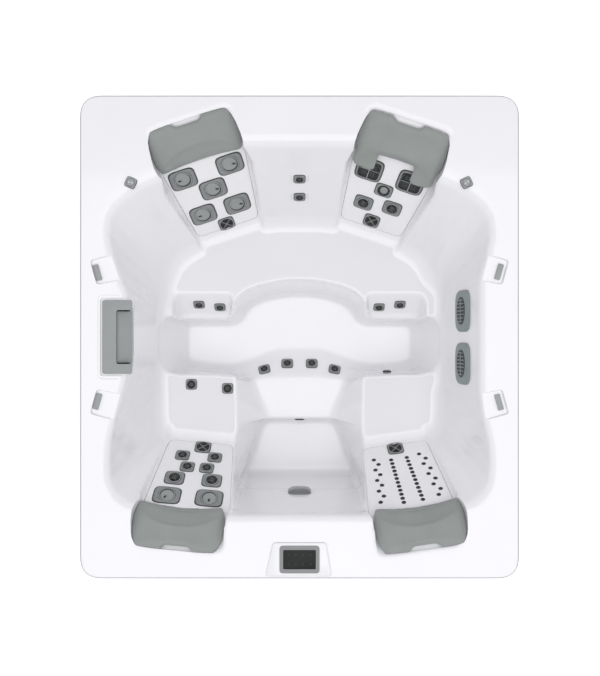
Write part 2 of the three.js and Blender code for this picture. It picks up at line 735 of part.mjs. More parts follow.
function addAllShellJets() {
  addShellJets('foot_jets_left', rampPlaces(-1), shellJet);
  addShellJets('foot_jets_right', rampPlaces(1), shellJet);
  const calf = fromShares(calfJetShares).map(([x, y]) => standing(
    [x, y, depthToZ(seatDepth)], [0, 0, 1], [0, 1, 0]));
  addShellJets('calf_jets', calf, shellJet);
  const ridge = ridgeJetShares.map(([x, y], i) => standing(
    [x * halfWidth, y * halfLength, depthToZ(ridgeDepth + ridgeJetDrop)],
    headingNormal(ridgeJetLean, ridgeJetHeadings[i])));
  addShellJets('ridge_jets', ridge, shellJet, true);
  const backMiddle = basin.top.length - 1;
  const backWall = backWallJetDepths.map((depth) => wallPlace(backMiddle, 0.5, depth));
  addShellJets('back_wall_jets', backWall, shellJet);
  [['shoulder_jets_left', -1], ['shoulder_jets_right', 1]].forEach(([key, sign]) => {
    const [x, y] = shoulderPlaceShares;
    const matrix = standing([sign * x * halfWidth, y * halfLength, rimHeight], [0, 0, 1],
      [-sign * shoulderTurnShare, 1, 0]);
    addShellJets(key, [matrix], shoulderJet);
  });
}

// Suction covers, the light and the side grilles
function addCover(name, matrix, width, height, thickness, dome, barrel, look, curved = false) {
  const stem = bar(barrel, -shellJetDepth / 2, thickness / 2, holeSides);
  addPiece(name, fittingFlange(width, height, thickness, dome).add(stem), look, matrix);
  needSeat(matrix, barrel + turnGap, shellJetDepth, curved ? width : 0);
}

function addWallFittings() {
  grillePlaceShares.forEach((share, i) => {
    const wallHeight = seatDepth - wallTopDepth;
    const topX = rightWallTopShares[rightWallFlatCount][0] * halfWidth;
    const run = topX - rightWallSeatShares[rightWallFlatCount][0] * halfWidth;
    const x = topX - run * (grilleDepth - wallTopDepth) / wallHeight;
    const matrix = standing([x, share * halfLength, depthToZ(grilleDepth)], [-wallHeight, 0, run]);
    addCover(i ? 'side_suction_front' : 'side_suction_back', matrix, grilleLength, grilleHeight,
      bezelHeight, bezelHeight, grilleHeight / 4, trimGrey);
  });
  const light = wallPlace(basin.top.length / 2 - 1, 0.5, lightDepth);
  addCover('light_lens', light, lightSize, lightSize, bezelHeight, lightDome, lightSize / 4, lensClear,
    true);
  const [[stepX, stepY], [footX, footY]] = fromShares([ridgeSuctionShares, footwellSuctionShares]);
  const step = standing([stepX, stepY, depthToZ(ridgeDepth + ridgeSuctionDrop)],
    headingNormal(ridgeSuctionLean, -90));
  addCover('ridge_suction_cover', step, ridgeSuction, ridgeSuction, bezelHeight, bezelHeight / 2,
    ridgeSuction / 4, trimGrey, true);
  const foot = standing([footX, footY, depthToZ(ridgeDepth - footwellSuctionRise)],
    headingNormal(footwellSuctionLean, 90));
  addCover('footwell_suction_cover', foot, footwellSuction, footwellSuction, bezelHeight,
    bezelHeight / 2, footwellSuction / 4, trimGrey, true);
}

// The shell: rim plate, lip and the walls of every hollow, then the hollows cut out
function rimPlate() {
  const outline = rounded(rectangle(tubWidth, tubLength), rimCornerRadius, cornerSteps + 1);
  const body = loft([
    { z: rimHeight - rimLipHeight, points: outline },
    { z: rimHeight - rimRound, points: outline },
    { z: rimHeight - rimRound * 0.3, points: grown(outline, -rimRound * 0.3) },
    { z: rimHeight, points: grown(outline, -rimRound) },
  ]);
  const inner = prism(grown(outline, -rimLipThickness), rimHeight - rimLipHeight - overrun,
    rimHeight - shellWall);
  const pod = rounded(fromShares(podShares), shellWall);
  return body.subtract(inner).add(prism(pod, rimHeight - shellWall / 2, rimHeight + podHeight));
}

function panelWell(seat) {
  const matrix = panelMatrix(seat);
  const walls = prism(panelOutline(slideGap + shellWall), -panelWellDepth - shellWall, -seatGap);
  const seatCut = prism(panelOutline(slideGap), -panelThickness - seatGap, overrun);
  const cavity = prism(panelOutline(-panelLedge), -panelWellDepth, 0);
  return { walls: placedSolid(walls, matrix), cuts: [seatCut, cavity].map((s) => placedSolid(s, matrix)) };
}

function buildShell() {
  const hollows = [basinHollow(), ...seatBacks.map(seatBackHollow), footwellHollow(), ridgeHollow(),
    frontWellHollow(), rampHollow(-1), rampHollow(1), filterWell.hollow];
  const wells = seatBacks.map(panelWell);
  const outsides = [rimPlate(), ...hollows.map((h) => h.outside), filterWalls(),
    ...fourWays.map(chuteFloor), ...wells.map((w) => w.walls)];
  const insides = [...hollows.map((h) => h.inside), ...filterCuts(), ...fourWays.map(chuteCut),
    ...wells.flatMap((w) => w.cuts)];
  let shell = cutBy(joined(outsides), insides);
  const padded = shellSeats.filter((seat) => seat.padSize > 0);
  padded.forEach((seat) => {
    const pad = prism(squareOutline(seat.padSize + shellWall), -shellWall * 2, 0);
    shell = shell.add(placedSolid(pad, seat.matrix));
  });
  padded.forEach((seat) => {
    const clear = prism(squareOutline(seat.padSize + slideGap), 0, overrun / 2);
    shell = shell.subtract(placedSolid(clear, seat.matrix));
  });
  shellSeats.forEach((seat) => {
    const hole = bar(seat.holeRadius, -seat.depth, overrun / 2, holeSides);
    shell = shell.subtract(placedSolid(hole, seat.matrix));
  });
  return shell;
}

// Jet panel: plate with raised square bezels round its jets and a crossed grille
function crossedGrille() {
  const size = crossGrille;
  const plate = prism(squareOutline(size), -seatGap, bezelHeight / 2);
  const arms = [45, -45].map((angle) => block(size * 0.9, size / 8, bezelHeight)
    .rotate([0, 0, angle]).translate([0, 0, bezelHeight / 2]));
  return joined([plate, ...arms]);
}

function panelSolid(seat) {
  const plate = prism(panelOutline(), -panelThickness, 0);
  const jets = panelJets[seat.key];
  const at = (solid, [x, y]) => solid.translate([x, y, 0]);
  const bezels = jets.map((jet) => at(prism(squareOutline(jet[1]), -seatGap, bezelHeight), jetPlace(jet)));
  const cross = crossPlaceShares[seat.key];
  const grille = at(crossedGrille(), [cross[0] * panelTopHalf, cross[1] * panelHeight]);
  const holes = jets.flatMap((jet) => [
    at(bar(turnHole(barrelRadius(jet), holeSides), -overrun, overrun, holeSides), jetPlace(jet)),
    at(bar(turnHole(insertRadius(jet)), 0, overrun), jetPlace(jet)),
  ]);
  return cutBy(joined([plate, ...bezels, grille]), holes);
}

// The turning face of one jet: a disc with its own throat and a barrel behind the panel
function jetInsert(jet) {
  const face = bar(insertRadius(jet), seatGap, bezelHeight + slideGap);
  const barrel = bar(barrelRadius(jet), -jetDepth, seatGap * 2, holeSides);
  const throat = bar(barrelRadius(jet) / 2, -jetDepth / 2, overrun, holeSides);
  const offset = jet[0] === 'single' ? 0 : insertRadius(jet) * 0.42;
  const cuts = jet[0] === 'twin' ? [offset, -offset] : [offset];
  const small = throat.scale([0.7, 0.7, 1]);
  return cutBy(face.add(barrel), cuts.map((x) => small.translate([x, 0, 0])));
}

function addSeatBacks() {
  seatBacks.forEach((seat) => {
    const matrix = panelMatrix(seat);
    addPiece(`jet_panel_${seat.key}`, panelSolid(seat), acrylicWhite, matrix);
    panelJets[seat.key].forEach((jet, i) => {
      const [x, y] = jetPlace(jet);
      const place = matrix.clone().multiply(new THREE.Matrix4().makeTranslation(x, y, 0));
      addPiece(`jet_face_${seat.key}_${i + 1}`, jetInsert(jet), jetGrey, place);
    });
    addPillow(seat);
  });
}

// A pillow with a crown and drawn-in sides, lying on the shelf above its panel
function addPillow(seat) {
  const { facing, up, head, shelfTilt: tilt } = seatBackFrame(seat);
  const back = up.clone().multiplyScalar(Math.sin(tilt)).addScaledVector(facing, -Math.cos(tilt));
  const normal = up.clone().multiplyScalar(Math.cos(tilt)).addScaledVector(facing, Math.sin(tilt));
  const matrix = standing(head.toArray(), normal.toArray(), back.toArray());
  const reach = pillowReach / Math.cos(tilt);
  const outline = pillowShares.map(([u, b]) => [u * pillowHalf, b * reach]);
  const centreY = reach / 2;
  const crown = (points, share) => points.map(([x, y]) => [x * share, centreY + (y - centreY) * share]);
  const rings = pillowCrownShares.map(([height, share]) => ({
    z: seatGap + height * pillowThickness, points: crown(outline, share),
  }));
  const body = loft(rings);
  const legs = seat.key === 'back_right' ? pillowLegs(reach, tilt) : [];
  addPiece(`pillow_${seat.key}`, joined([body, ...legs]), pillowGrey, matrix);
}

// Two short legs of the pillow reach down over the panel's upper jets
function pillowLegs(reach, tilt) {
  return [1, -1].map((sign) => {
    const points = pillowLegShares.map(([u, b]) => [sign * u * pillowHalf, b * reach]);
    const leg = loft([
      { z: bezelHeight * 2, points },
      { z: pillowThickness * 0.6, points },
      { z: pillowThickness * 0.8, points: points.map(([x, y]) => [
        sign * pillowHalf * 0.68 + (x - sign * pillowHalf * 0.68) * 0.8, y * 0.85]) },
    ]);
    return leg.rotate([(90 - upperRecline - tilt / degree) / 2, 0, 0]);
  });
}

// Filter lid with two cheeks that carry the weir flap's pins
function addFilter() {
  const lidBottom = rimHeight - lidThickness - lidDepth + seatGap;
  const plate = prism(rounded(rectangle(lidWidth, lidLength), shellWall, squareSteps),
    lidBottom, rimHeight - lidDepth + bezelHeight / 2).translate([filterX, 0, 0]);
  const openingLength = weirLength + shellWall;
  const opening = movedBlock(weirReach + shellWall, openingLength, lidThickness * 4,
    filterX + lidWidth / 2 - weirReach / 2, 0, rimHeight);
  const hinge = {
    x: filterX + lidWidth / 2 - shellWall * 1.5,
    z: rimHeight - lidThickness - weirReach * 0.6,
  };
  const cheekHeight = rimHeight - lidThickness - hinge.z + shellWall;
  const cheeks = [1, -1].map((sign) => movedBlock(shellWall * 2, weirPinLength + slideGap, cheekHeight,
    hinge.x, sign * (weirLength / 2 + weirPinLength / 2 + slideGap * 1.5),
    rimHeight - lidThickness - cheekHeight / 2 + shellWall / 2));
  const pinHole = bar(turnHole(weirPinRadius, pinSides), -lidLength, lidLength, pinSides).rotate([90, 0, 0])
    .translate([hinge.x, 0, hinge.z]);
  addPiece('filter_lid', joined([plate.subtract(opening), ...cheeks]).subtract(pinHole), trimGrey);

  const flap = movedBlock(weirThickness, weirLength, weirReach, 0, 0, weirReach / 2);
  const pins = bar(weirPinRadius, -weirLength / 2 - weirPinLength, weirLength / 2 + weirPinLength, pinSides)
    .rotate([90, 0, 0]);
  const matrix = new THREE.Matrix4().makeRotationY(-(90 - weirTilt) * degree);
  matrix.setPosition(new THREE.Vector3(hinge.x, 0, hinge.z));
  addPiece('weir_flap', flap.add(pins), trimGrey, matrix);

  const foot = depthToZ(wellDepth) + seatGap;
  const cartridge = bar(cartridgeRadius, foot, foot + cartridgeHeight)
    .subtract(bar(cartridgeRadius / 3, foot - overrun, foot + cartridgeHeight - shellWall, pinSides));
  addPiece('filter_cartridge', cartridge.translate([filterWell.wellX, 0, 0]), filterWhite);
}

function addSpouts() {
  fourWays.forEach(([sx, sy]) => {
    const name = `waterfall_spout_${sy > 0 ? 'back' : 'front'}_${sx > 0 ? 'left' : 'right'}`;
    const x = spoutPlaceShares[0] * halfWidth * sx;
    const y = spoutPlaceShares[1] * halfLength * sy;
    const matrix = new THREE.Matrix4().makeRotationZ(spoutTurn * degree * sx * sy);
    matrix.setPosition(new THREE.Vector3(x, y, rimHeight - chuteDepth));
    const slot = block(spoutWidth / 4, spoutLength * 0.86, spoutHeight).translate([0, 0, spoutHeight]);
    const body = prism(rounded(rectangle(spoutWidth, spoutLength), shellWall / 2), seatGap, spoutHeight);
    const stem = bar(spoutStemRadius, -spoutStemDepth, spoutHeight / 3, pinSides);
    addPiece(name, joined([body.subtract(slot), stem]), trimGrey, matrix);
    const hole = bar(spoutStemRadius + turnGap, -spoutStemDepth, overrun, pinSides);
    spoutHoles.push(placedSolid(hole, matrix));
  });
}

function addControls() {
  const [x, y] = fromShares([controlPlaceShares])[0];
  const matrix = new THREE.Matrix4().makeTranslation(x, y, rimHeight + podHeight);
  const frame = prism(rounded(rectangle(bezelWidth, bezelDepth), shellWall * 2), seatGap, controlThickness);
  const window = prism(rounded(rectangle(screenWidth + slideGap, screenDepth + slideGap), shellWall),
    -overrun, overrun);
  addPiece('control_bezel', frame.subtract(window), bezelGrey, matrix);
  const screenOutline = rounded(rectangle(screenWidth, screenDepth), shellWall);
  const screen = prism(screenOutline, seatGap, controlThickness * 0.7);
  addPiece('control_screen', screen, screenBlack, matrix);
}

// Base pan, frame and the four cabinet panels
const cabinetHalfX = halfWidth - cabinetInset;
const cabinetHalfY = halfLength - cabinetInset;
const innerX = cabinetHalfX - cabinetThickness - seatGap * 5;
const innerY = cabinetHalfY - cabinetThickness - seatGap * 5;

function addFrame() {
  const pan = rounded(rectangle(cabinetHalfX * 2, cabinetHalfY * 2), rimLipHeight);
  addPiece('base_pan', prism(pan, 0, panHeight), plasticBlack);
  const foot = panHeight + seatGap;
  const postTop = rimHeight - shellWall - seatGap;
  const upperRail = rimHeight - upperRailDrop - upperRailHeight;
  const rails = [[foot, lowerRailHeight], [upperRail, upperRailHeight]].flatMap(
    ([low, height]) => [1, -1].flatMap((sign) => [
      movedBlock(innerX * 2, railSize, height, 0, sign * (innerY - railSize / 2), low + height / 2),
      movedBlock(railSize, innerY * 2, height, sign * (innerX - railSize / 2), 0, low + height / 2),
    ]));
  const posts = fourWays.map(([sx, sy]) => movedBlock(railSize, railSize, postTop - foot,
    sx * (innerX - railSize / 2), sy * (innerY - railSize / 2), (postTop + foot) / 2));
  addPiece('support_frame', joined([...rails, ...posts]), steel);
}

// Upright panel section with level grooves, drawn through its length
function cabinetPanel(length) {
  const height = rimHeight - rimLipHeight - cabinetLipGap - panHeight;
  const pitch = height / (grooveCount + 1);
  const face = cabinetThickness / 2;
  const outline = [[-face, 0], [face, 0]];
  for (let i = 1; i <= grooveCount; i += 1) {
    const z = i * pitch;
    outline.push([face, z - grooveWidth / 2], [face - grooveDepth, z - grooveWidth / 4],
      [face - grooveDepth, z + grooveWidth / 4], [face, z + grooveWidth / 2]);
  }
  outline.push([face, height], [-face, height]);
  return prism(outline, -length / 2, length / 2).rotate([90, 0, 0]).translate([0, 0, panHeight + seatGap]);
}

function addCabinet() {
  const sideLength = cabinetHalfY * 2 - (cabinetThickness + slideGap) * 2;
  const endLength = cabinetHalfX * 2;
  const sideX = cabinetHalfX - cabinetThickness / 2;
  const endY = cabinetHalfY - cabinetThickness / 2;
  const drainY = -sideLength * 0.4;
  const side = cabinetPanel(sideLength);
  const hole = bar(turnHole(drainRadius), -overrun, overrun).rotate([0, 90, 0])
    .translate([0, drainY, drainHeight]);
  addPiece('cabinet_right', side.subtract(hole).translate([sideX, 0, 0]), cabinetGrey);
  addPiece('cabinet_left', side.rotate([0, 0, 180]).translate([-sideX, 0, 0]), cabinetGrey);
  const end = cabinetPanel(endLength);
  addPiece('cabinet_back', end.rotate([0, 0, 90]).translate([0, endY, 0]), cabinetGrey);
  addPiece('cabinet_front', end.rotate([0, 0, -90]).translate([0, -endY, 0]), cabinetGrey);

  const face = cabinetThickness / 2 + seatGap;
  const cap = bar(drainCapRadius, face, face + drainCapHeight)
    .add(bar(drainRadius, -cabinetThickness, face + seatGap));
  const grip = [0, 90].map((angle) => block(drainCapRadius * 1.4, drainCapHeight / 3, drainCapHeight / 2)
    .rotate([0, 0, angle]).translate([0, 0, face + drainCapHeight]));
  const matrix = standing([sideX, drainY, drainHeight], [1, 0, 0]);
  addPiece('drain_cap', joined([cap, ...grip]), plasticBlack, matrix);
}

// Pump, heater and control box stand on the base pan behind the front panel
function addEquipment() {
  const axisZ = panHeight + voluteRadius + footHeight;
  const lineY = -innerY + railSize + voluteRadius + slideGap * 4;
  const alongX = (solid) => solid.rotate([0, 90, 0]);
  const pumpX = -halfWidth / 3;
  const feet = (length, radius) => [0.25, -0.25].map((part) => movedBlock(footWidth / 2, footWidth * 2,
    axisZ - panHeight - seatGap - radius / 2, part * length, 0,
    (panHeight + seatGap - axisZ - radius / 2) / 2));
  const motorBody = alongX(bar(motorRadius, -motorLength / 2, motorLength / 2));
  const ribs = [0.3, 0, -0.3].map((part) => alongX(bar(motorRadius + shellWall / 2,
    part * motorLength - shellWall, part * motorLength + shellWall)));
  const shaft = alongX(bar(shaftRadius, 0, motorLength / 2 + shaftLength, pinSides));
  const motorPlace = new THREE.Matrix4().makeTranslation(pumpX - motorLength / 2, lineY, axisZ);
  const motor = joined([motorBody, ...ribs, shaft, ...feet(motorLength, motorRadius)]);
  addPiece('pump_motor', motor, plasticBlack, motorPlace);

  const voluteX = pumpX + seatGap + voluteLength / 2;
  const inner = voluteRadius - voluteWall;
  const volute = cutBy(joined([
    alongX(bar(voluteRadius, -voluteLength / 2, voluteLength / 2)),
    alongX(bar(inletRadius + voluteWall, 0, voluteLength / 2 + unionLength)),
    bar(inletRadius + voluteWall, 0, voluteRadius + unionLength).translate([0, inner / 2, 0]),
    movedBlock(footWidth, footWidth * 2, axisZ - panHeight - seatGap - voluteRadius / 2, 0, 0,
      (panHeight + seatGap - axisZ - voluteRadius / 2) / 2),
  ]), [
    alongX(bar(inner, -voluteLength / 2 + voluteWall, voluteLength / 2 - voluteWall)),
    alongX(bar(inletRadius, 0, voluteLength * 2)),
    alongX(bar(shaftRadius + turnGap * 2, -voluteLength, 0, pinSides)),
    bar(inletRadius, 0, voluteRadius * 2).translate([0, inner / 2, 0]),
  ]);
  const volutePlace = new THREE.Matrix4().makeTranslation(voluteX, lineY, axisZ);
  addPiece('pump_wet_end', volute, plasticBlack, volutePlace);

  const vanes = [0, 60, 120].map((angle) => block(impellerWidth, impellerRadius * 1.9, shellWall / 2)
    .rotate([angle, 0, 0]));
  const impeller = joined([
    alongX(bar(impellerRadius, -impellerWidth / 2, -impellerWidth / 4)),
    alongX(bar(hubRadius, -hubLength / 2, hubLength / 2, pinSides)),
    ...vanes,
  ]).subtract(alongX(bar(turnHole(shaftRadius, pinSides), -hubLength, hubLength, pinSides)));
  const hubX = pumpX + shaftLength - hubLength / 2 - slideGap;
  addPiece('pump_impeller', impeller, trimGrey, new THREE.Matrix4().makeTranslation(hubX, lineY, axisZ));

  const heaterZ = panHeight + unionRadius + footHeight;
  const heaterX = voluteX + voluteLength + heaterLength / 2;
  const ends = [1, -1].map((sign) => alongX(bar(unionRadius, 0, unionLength)).translate(
    [sign * (heaterLength / 2 - unionLength / 2) - unionLength / 2, 0, 0]));
  const saddles = [0.25, -0.25].map((part) => movedBlock(footWidth / 3, unionRadius * 1.6,
    heaterZ - panHeight - seatGap - heaterRadius / 2, part * heaterLength, 0,
    (panHeight + seatGap - heaterZ - heaterRadius / 2) / 2));
  const bore = alongX(bar(heaterRadius - shellWall / 2, -heaterLength, heaterLength));
  const tube = alongX(bar(heaterRadius, -heaterLength / 2, heaterLength / 2));
  const heater = joined([tube, ...ends, ...saddles]).subtract(bore);
  addPiece('heater_tube', heater, steel, new THREE.Matrix4().makeTranslation(heaterX, lineY, heaterZ));

  const boxX = heaterX + heaterLength / 2 + boxWidth / 2 + footWidth / 2;
  const lid = movedBlock(boxWidth * 0.94, shellWall, boxHeight * 0.9, 0, -boxDepth / 2 - shellWall / 2, 0);
  addPiece('control_box', block(boxWidth, boxDepth, boxHeight).add(lid), bezelGrey,
    new THREE.Matrix4().makeTranslation(boxX, lineY, panHeight + seatGap + boxHeight / 2));
}

addAllShellJets();
addWallFittings();
addSpouts();
addFilter();
addControls();
addSeatBacks();
addFrame();
addCabinet();
addEquipment();
addPiece('acrylic_shell', cutBy(buildShell(), spoutHoles), acrylicWhite);

export default tub;
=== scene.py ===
# %% [markdown]
# # An acrylic hot tub
#
# The tub is looked at from straight above. A glossy white shell holds four reclined seat
# backs, and each of those has a jet panel and a grey headrest pillow. The frame that is
# loaded first gives every size and place, so each piece is built where it belongs.

# %% Load the frame
import math

import bmesh
import bpy
from mathutils import Matrix, Vector, geometry
from mathutils.bvhtree import BVHTree
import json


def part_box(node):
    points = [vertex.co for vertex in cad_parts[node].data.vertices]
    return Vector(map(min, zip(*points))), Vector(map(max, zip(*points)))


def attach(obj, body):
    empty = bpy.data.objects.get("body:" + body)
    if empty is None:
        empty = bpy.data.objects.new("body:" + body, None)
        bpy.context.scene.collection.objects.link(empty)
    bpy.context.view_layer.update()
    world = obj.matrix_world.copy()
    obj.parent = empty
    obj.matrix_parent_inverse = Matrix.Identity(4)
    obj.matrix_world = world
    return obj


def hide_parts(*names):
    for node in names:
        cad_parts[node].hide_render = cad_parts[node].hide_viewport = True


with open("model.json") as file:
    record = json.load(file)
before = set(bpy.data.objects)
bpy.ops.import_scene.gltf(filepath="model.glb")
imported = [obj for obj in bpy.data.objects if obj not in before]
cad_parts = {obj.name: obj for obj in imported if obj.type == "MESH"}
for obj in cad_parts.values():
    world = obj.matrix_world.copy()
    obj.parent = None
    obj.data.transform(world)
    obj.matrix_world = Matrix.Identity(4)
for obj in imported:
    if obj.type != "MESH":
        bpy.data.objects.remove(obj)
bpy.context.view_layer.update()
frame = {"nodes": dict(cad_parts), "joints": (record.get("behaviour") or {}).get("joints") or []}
joints = {joint["name"]: joint for joint in frame["joints"]}
seat_keys = ["back_left", "back_right", "front_left", "front_right"]

# %% [markdown]
# Nearly every piece starts as one or more closed outlines. An outline is a list of points
# in a plane, and a piece comes from outlines at several levels that are bridged. The same
# small helpers serve the shell, the bezels and the trim, so they come first.

# %% Outlines
UP = Vector((0, 0, 1))
MM = 0.001


def rounded(points, radius, steps=6):
    """The outline with each corner replaced by an arc that leaves and meets its edges."""
    result = []
    for i, point in enumerate(points):
        corner = Vector(point)
        before = Vector(points[i - 1]) - corner
        after = Vector(points[(i + 1) % len(points)]) - corner
        reach = min(radius, before.length * 0.48, after.length * 0.48)
        start = corner + before.normalized() * reach
        end = corner + after.normalized() * reach
        for k in range(steps + 1):
            t = k / steps
            result.append((1 - t) ** 2 * start + 2 * t * (1 - t) * corner + t * t * end)
    return result


def soft_rectangle(width, length, radius, steps=6):
    """A rectangle about the origin, anticlockwise, with rounded corners."""
    x, y = width / 2, length / 2
    return rounded([(-x, -y), (x, -y), (x, y), (-x, y)], radius, steps)


def squircle(width, length, steps=40, power=3.6):
    """A superellipse: the soft square that every jet bezel has."""
    points = []
    for k in range(steps):
        angle = math.tau * k / steps
        c, s = math.cos(angle), math.sin(angle)
        size = (abs(c) ** power + abs(s) ** power) ** (-1 / power)
        points.append(Vector((c * size * width / 2, s * size * length / 2)))
    return points


def shifted(points, x=0.0, y=0.0):
    return [p + Vector((x, y)) for p in points]


def flipped(points, x=-1, y=1):
    """The outline mirrored by signs along x and y."""
    return [Vector((p.x * x, p.y * y)) for p in points]


def disc(radius, x=0.0, y=0.0):
    return shifted(squircle(radius * 2, radius * 2, power=2), x, y)


def grown(points, distance):
    """The outline pushed outwards, square to the line between each point's neighbours."""
    area = sum(a.x * b.y - b.x * a.y for a, b in zip(points, points[1:] + points[:1]))
    side = 1 if area > 0 else -1
    result = []
    for i, point in enumerate(points):
        along = (points[(i + 1) % len(points)] - points[i - 1]).normalized()
        result.append(point + Vector((along.y, -along.x)) * distance * side)
    return result


def between(first, second, part):
    """Points part of the way from one outline to another."""
    return [a.lerp(b, part) for a, b in zip(first, second)]


# %% Meshes from outlines
def loft(rings, caps=True):
    """A skin over rings of equal point counts, each (z, outline), from bottom to top."""
    bm = bmesh.new()
    ring = bmesh.ops.create_circle(bm, segments=len(rings[0][1]), radius=1)["verts"]
    for level_number, (z, points) in enumerate(rings):
        if level_number:
            members = set(ring)
            edges = {e for v in ring for e in v.link_edges if e.other_vert(v) in members}
            made = bmesh.ops.extrude_edge_only(bm, edges=list(edges))["geom"]
            fresh = {g for g in made if isinstance(g, bmesh.types.BMVert)}
            ring = [next(e.other_vert(v) for e in v.link_edges if e.other_vert(v) in fresh)
                    for v in ring]
        for vert, point in zip(ring, points):
            vert.co = (point.x, point.y, z)
    if caps:
        bmesh.ops.edgeloop_fill(bm, edges=[edge for edge in bm.edges if edge.is_boundary])
    bmesh.ops.recalc_face_normals(bm, faces=bm.faces)
    return bm


def seamless(bm):
    """Merges the vertices where a skin meets itself and turns its faces outwards."""
    bmesh.ops.remove_doubles(bm, verts=bm.verts, dist=1e-6)
    bmesh.ops.recalc_face_normals(bm, faces=bm.faces)
    return bm


def ringed(levels):
    """A closed ring through (height in mm, outline); its skin ends where it began."""
    rings = [(z * MM, points) for z, points in levels + levels[:1]]
    return seamless(loft(rings, caps=False))


def turned(radius, profile, steps):
    """A turned piece, from (share of the radius, height in mm) round to the axis again."""
    bm = bmesh.new()
    verts = [bm.verts.new((radius * share, 0, z * MM)) for share, z in profile]
    edges = [bm.edges.new(pair) for pair in zip(verts, verts[1:])]
    bmesh.ops.spin(bm, geom=verts + edges, cent=(0, 0, 0), axis=(0, 0, 1), angle=math.tau,
                   steps=steps, use_merge=True)
    return seamless(bm)


def domed(width, length, levels, steps=56, power=3.6):
    """A soft square through (height in mm, share of its size)."""
    return loft([(z * MM, squircle(width * s, length * s, steps, power)) for z, s in levels])


def prism(points, low, high):
    """One outline drawn from low to high."""
    return loft([(low, points), (high, points)])


def box(width, length, height, place=(0, 0, 0)):
    """A block about a place."""
    bm = bmesh.new()
    bmesh.ops.create_cube(bm, size=1)
    bmesh.ops.scale(bm, vec=(width, length, height), verts=bm.verts)
    bmesh.ops.translate(bm, vec=place, verts=bm.verts)
    return bm


def bevelled(bm, width, segments=2):
    """Edges sharper than 30 degrees get a round."""
    sharp = [e for e in bm.edges if e.is_manifold and e.calc_face_angle(0) > math.radians(30)]
    bmesh.ops.bevel(bm, geom=sharp, offset=width, segments=segments, affect="EDGES",
                    profile=0.5, material=-1, clamp_overlap=True)
    return bm


def smoothed(bm, verts, factor):
    bmesh.ops.smooth_vert(bm, verts=verts, factor=factor, use_axis_x=True, use_axis_y=True,
                          use_axis_z=True)


def moved(bm, matrix):
    """The mesh put at its place."""
    bmesh.ops.transform(bm, matrix=matrix, verts=bm.verts)
    return bm


def stood(parts, matrix):
    """Parts that were built about the origin, put at their place."""
    return [(moved(bm, matrix), material) for bm, material in parts]


def shift(x=0.0, y=0.0, z=0.0):
    return Matrix.Translation((x, y, z))


def about_z(degrees):
    return Matrix.Rotation(math.radians(degrees), 4, "Z")


def turned_to(x, y, z):
    """Matrix that turns the axes to the given directions."""
    return Matrix((x, y, z)).transposed().to_4x4()


def standing(point, normal, lean=UP):
    """Matrix of a fitting: its z along the normal, its y leaning towards lean."""
    z = Vector(normal).normalized()
    x = Vector(lean).cross(z).normalized()
    return Matrix.Translation(point) @ turned_to(x, z.cross(x), z)


# %% [markdown]
# A piece is often made of parts with different finishes, such as a grey bezel with a dark
# nozzle. Each part is a mesh with one material, and the parts join into one object that
# rides on a body of the frame. Edges that turn sharply stay crisp, the rest shade smooth.

# %% Pieces from parts
def mesh_data(name, bm):
    """The mesh as data for an object."""
    mesh = bpy.data.meshes.new(name)
    bm.to_mesh(mesh)
    bm.free()
    return mesh


def linked(name, data):
    """A new object in the scene."""
    obj = bpy.data.objects.new(name, data)
    bpy.context.scene.collection.objects.link(obj)
    return obj


def piece(name, parts, body, replaces=(), sharp=35):
    """Joins (mesh, material name) parts into an object that rides on the body."""
    joined = bmesh.new()
    names = []
    for part, material in parts:
        if material not in names:
            names.append(material)
        for face in part.faces:
            face.material_index = names.index(material)
            face.smooth = True
        step = mesh_data("step", part)
        joined.from_mesh(step)
        bpy.data.meshes.remove(step)
    mesh = mesh_data(name, joined)
    for material in names:
        mesh.materials.append(bpy.data.materials[material])
    mesh.set_sharp_from_angle(angle=math.radians(sharp))
    obj = linked(name, mesh)
    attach(obj, body)
    if replaces:
        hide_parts(*replaces)
    return obj


# %% Work on meshes with modifiers
def applied(obj):
    """The object's mesh becomes what its modifiers make of it."""
    graph = bpy.context.evaluated_depsgraph_get()
    mesh = bpy.data.meshes.new_from_object(obj.evaluated_get(graph))
    obj.modifiers.clear()
    obj.data = mesh


def combine(obj, bm, operation):
    """Joins, subtracts or keeps the common part of an object and a mesh."""
    tool = linked("tool", mesh_data("tool", bm))
    step = obj.modifiers.new(operation, "BOOLEAN")
    step.operation, step.solver, step.object = operation, "EXACT", tool
    applied(obj)
    bpy.data.objects.remove(tool)


def cut(obj, cutters):
    """Subtracts the cutter meshes from an object."""
    for bm in cutters:
        combine(obj, bm, "DIFFERENCE")


def evened(obj, voxel, rounds):
    """Remeshes an object into small even faces and smooths them."""
    remesh = obj.modifiers.new("even faces", "REMESH")
    remesh.mode, remesh.voxel_size = "VOXEL", voxel
    soft = obj.modifiers.new("soft edges", "SMOOTH")
    soft.factor, soft.iterations = 0.5, rounds
    applied(obj)


def mesh_of(obj):
    """Takes an object apart again: its mesh as a bmesh."""
    bm = bmesh.new()
    bm.from_mesh(obj.data)
    bpy.data.objects.remove(obj)
    return bm


def without(bm, cutters):
    """A mesh with the cutter meshes taken away."""
    obj = linked("work", mesh_data("work", bm))
    cut(obj, cutters)
    return mesh_of(obj)


# %% [markdown]
# The finishes are built from nodes. Cast acrylic is smooth and glossy with a faint
# waviness from the mould, moulded plastic has a fine grain, and foam skin has pores. All
# patterns read Object coordinates in metres, so they keep their real scale.

# %% Materials
def set_inputs(node, **values):
    """Sets a node's input values, given by name with _ for a blank."""
    for name, value in values.items():
        node.inputs[name.replace("_", " ")].default_value = value
    return node


def shader_node(tree, kind, **values):
    return set_inputs(tree.nodes.new(kind), **values)


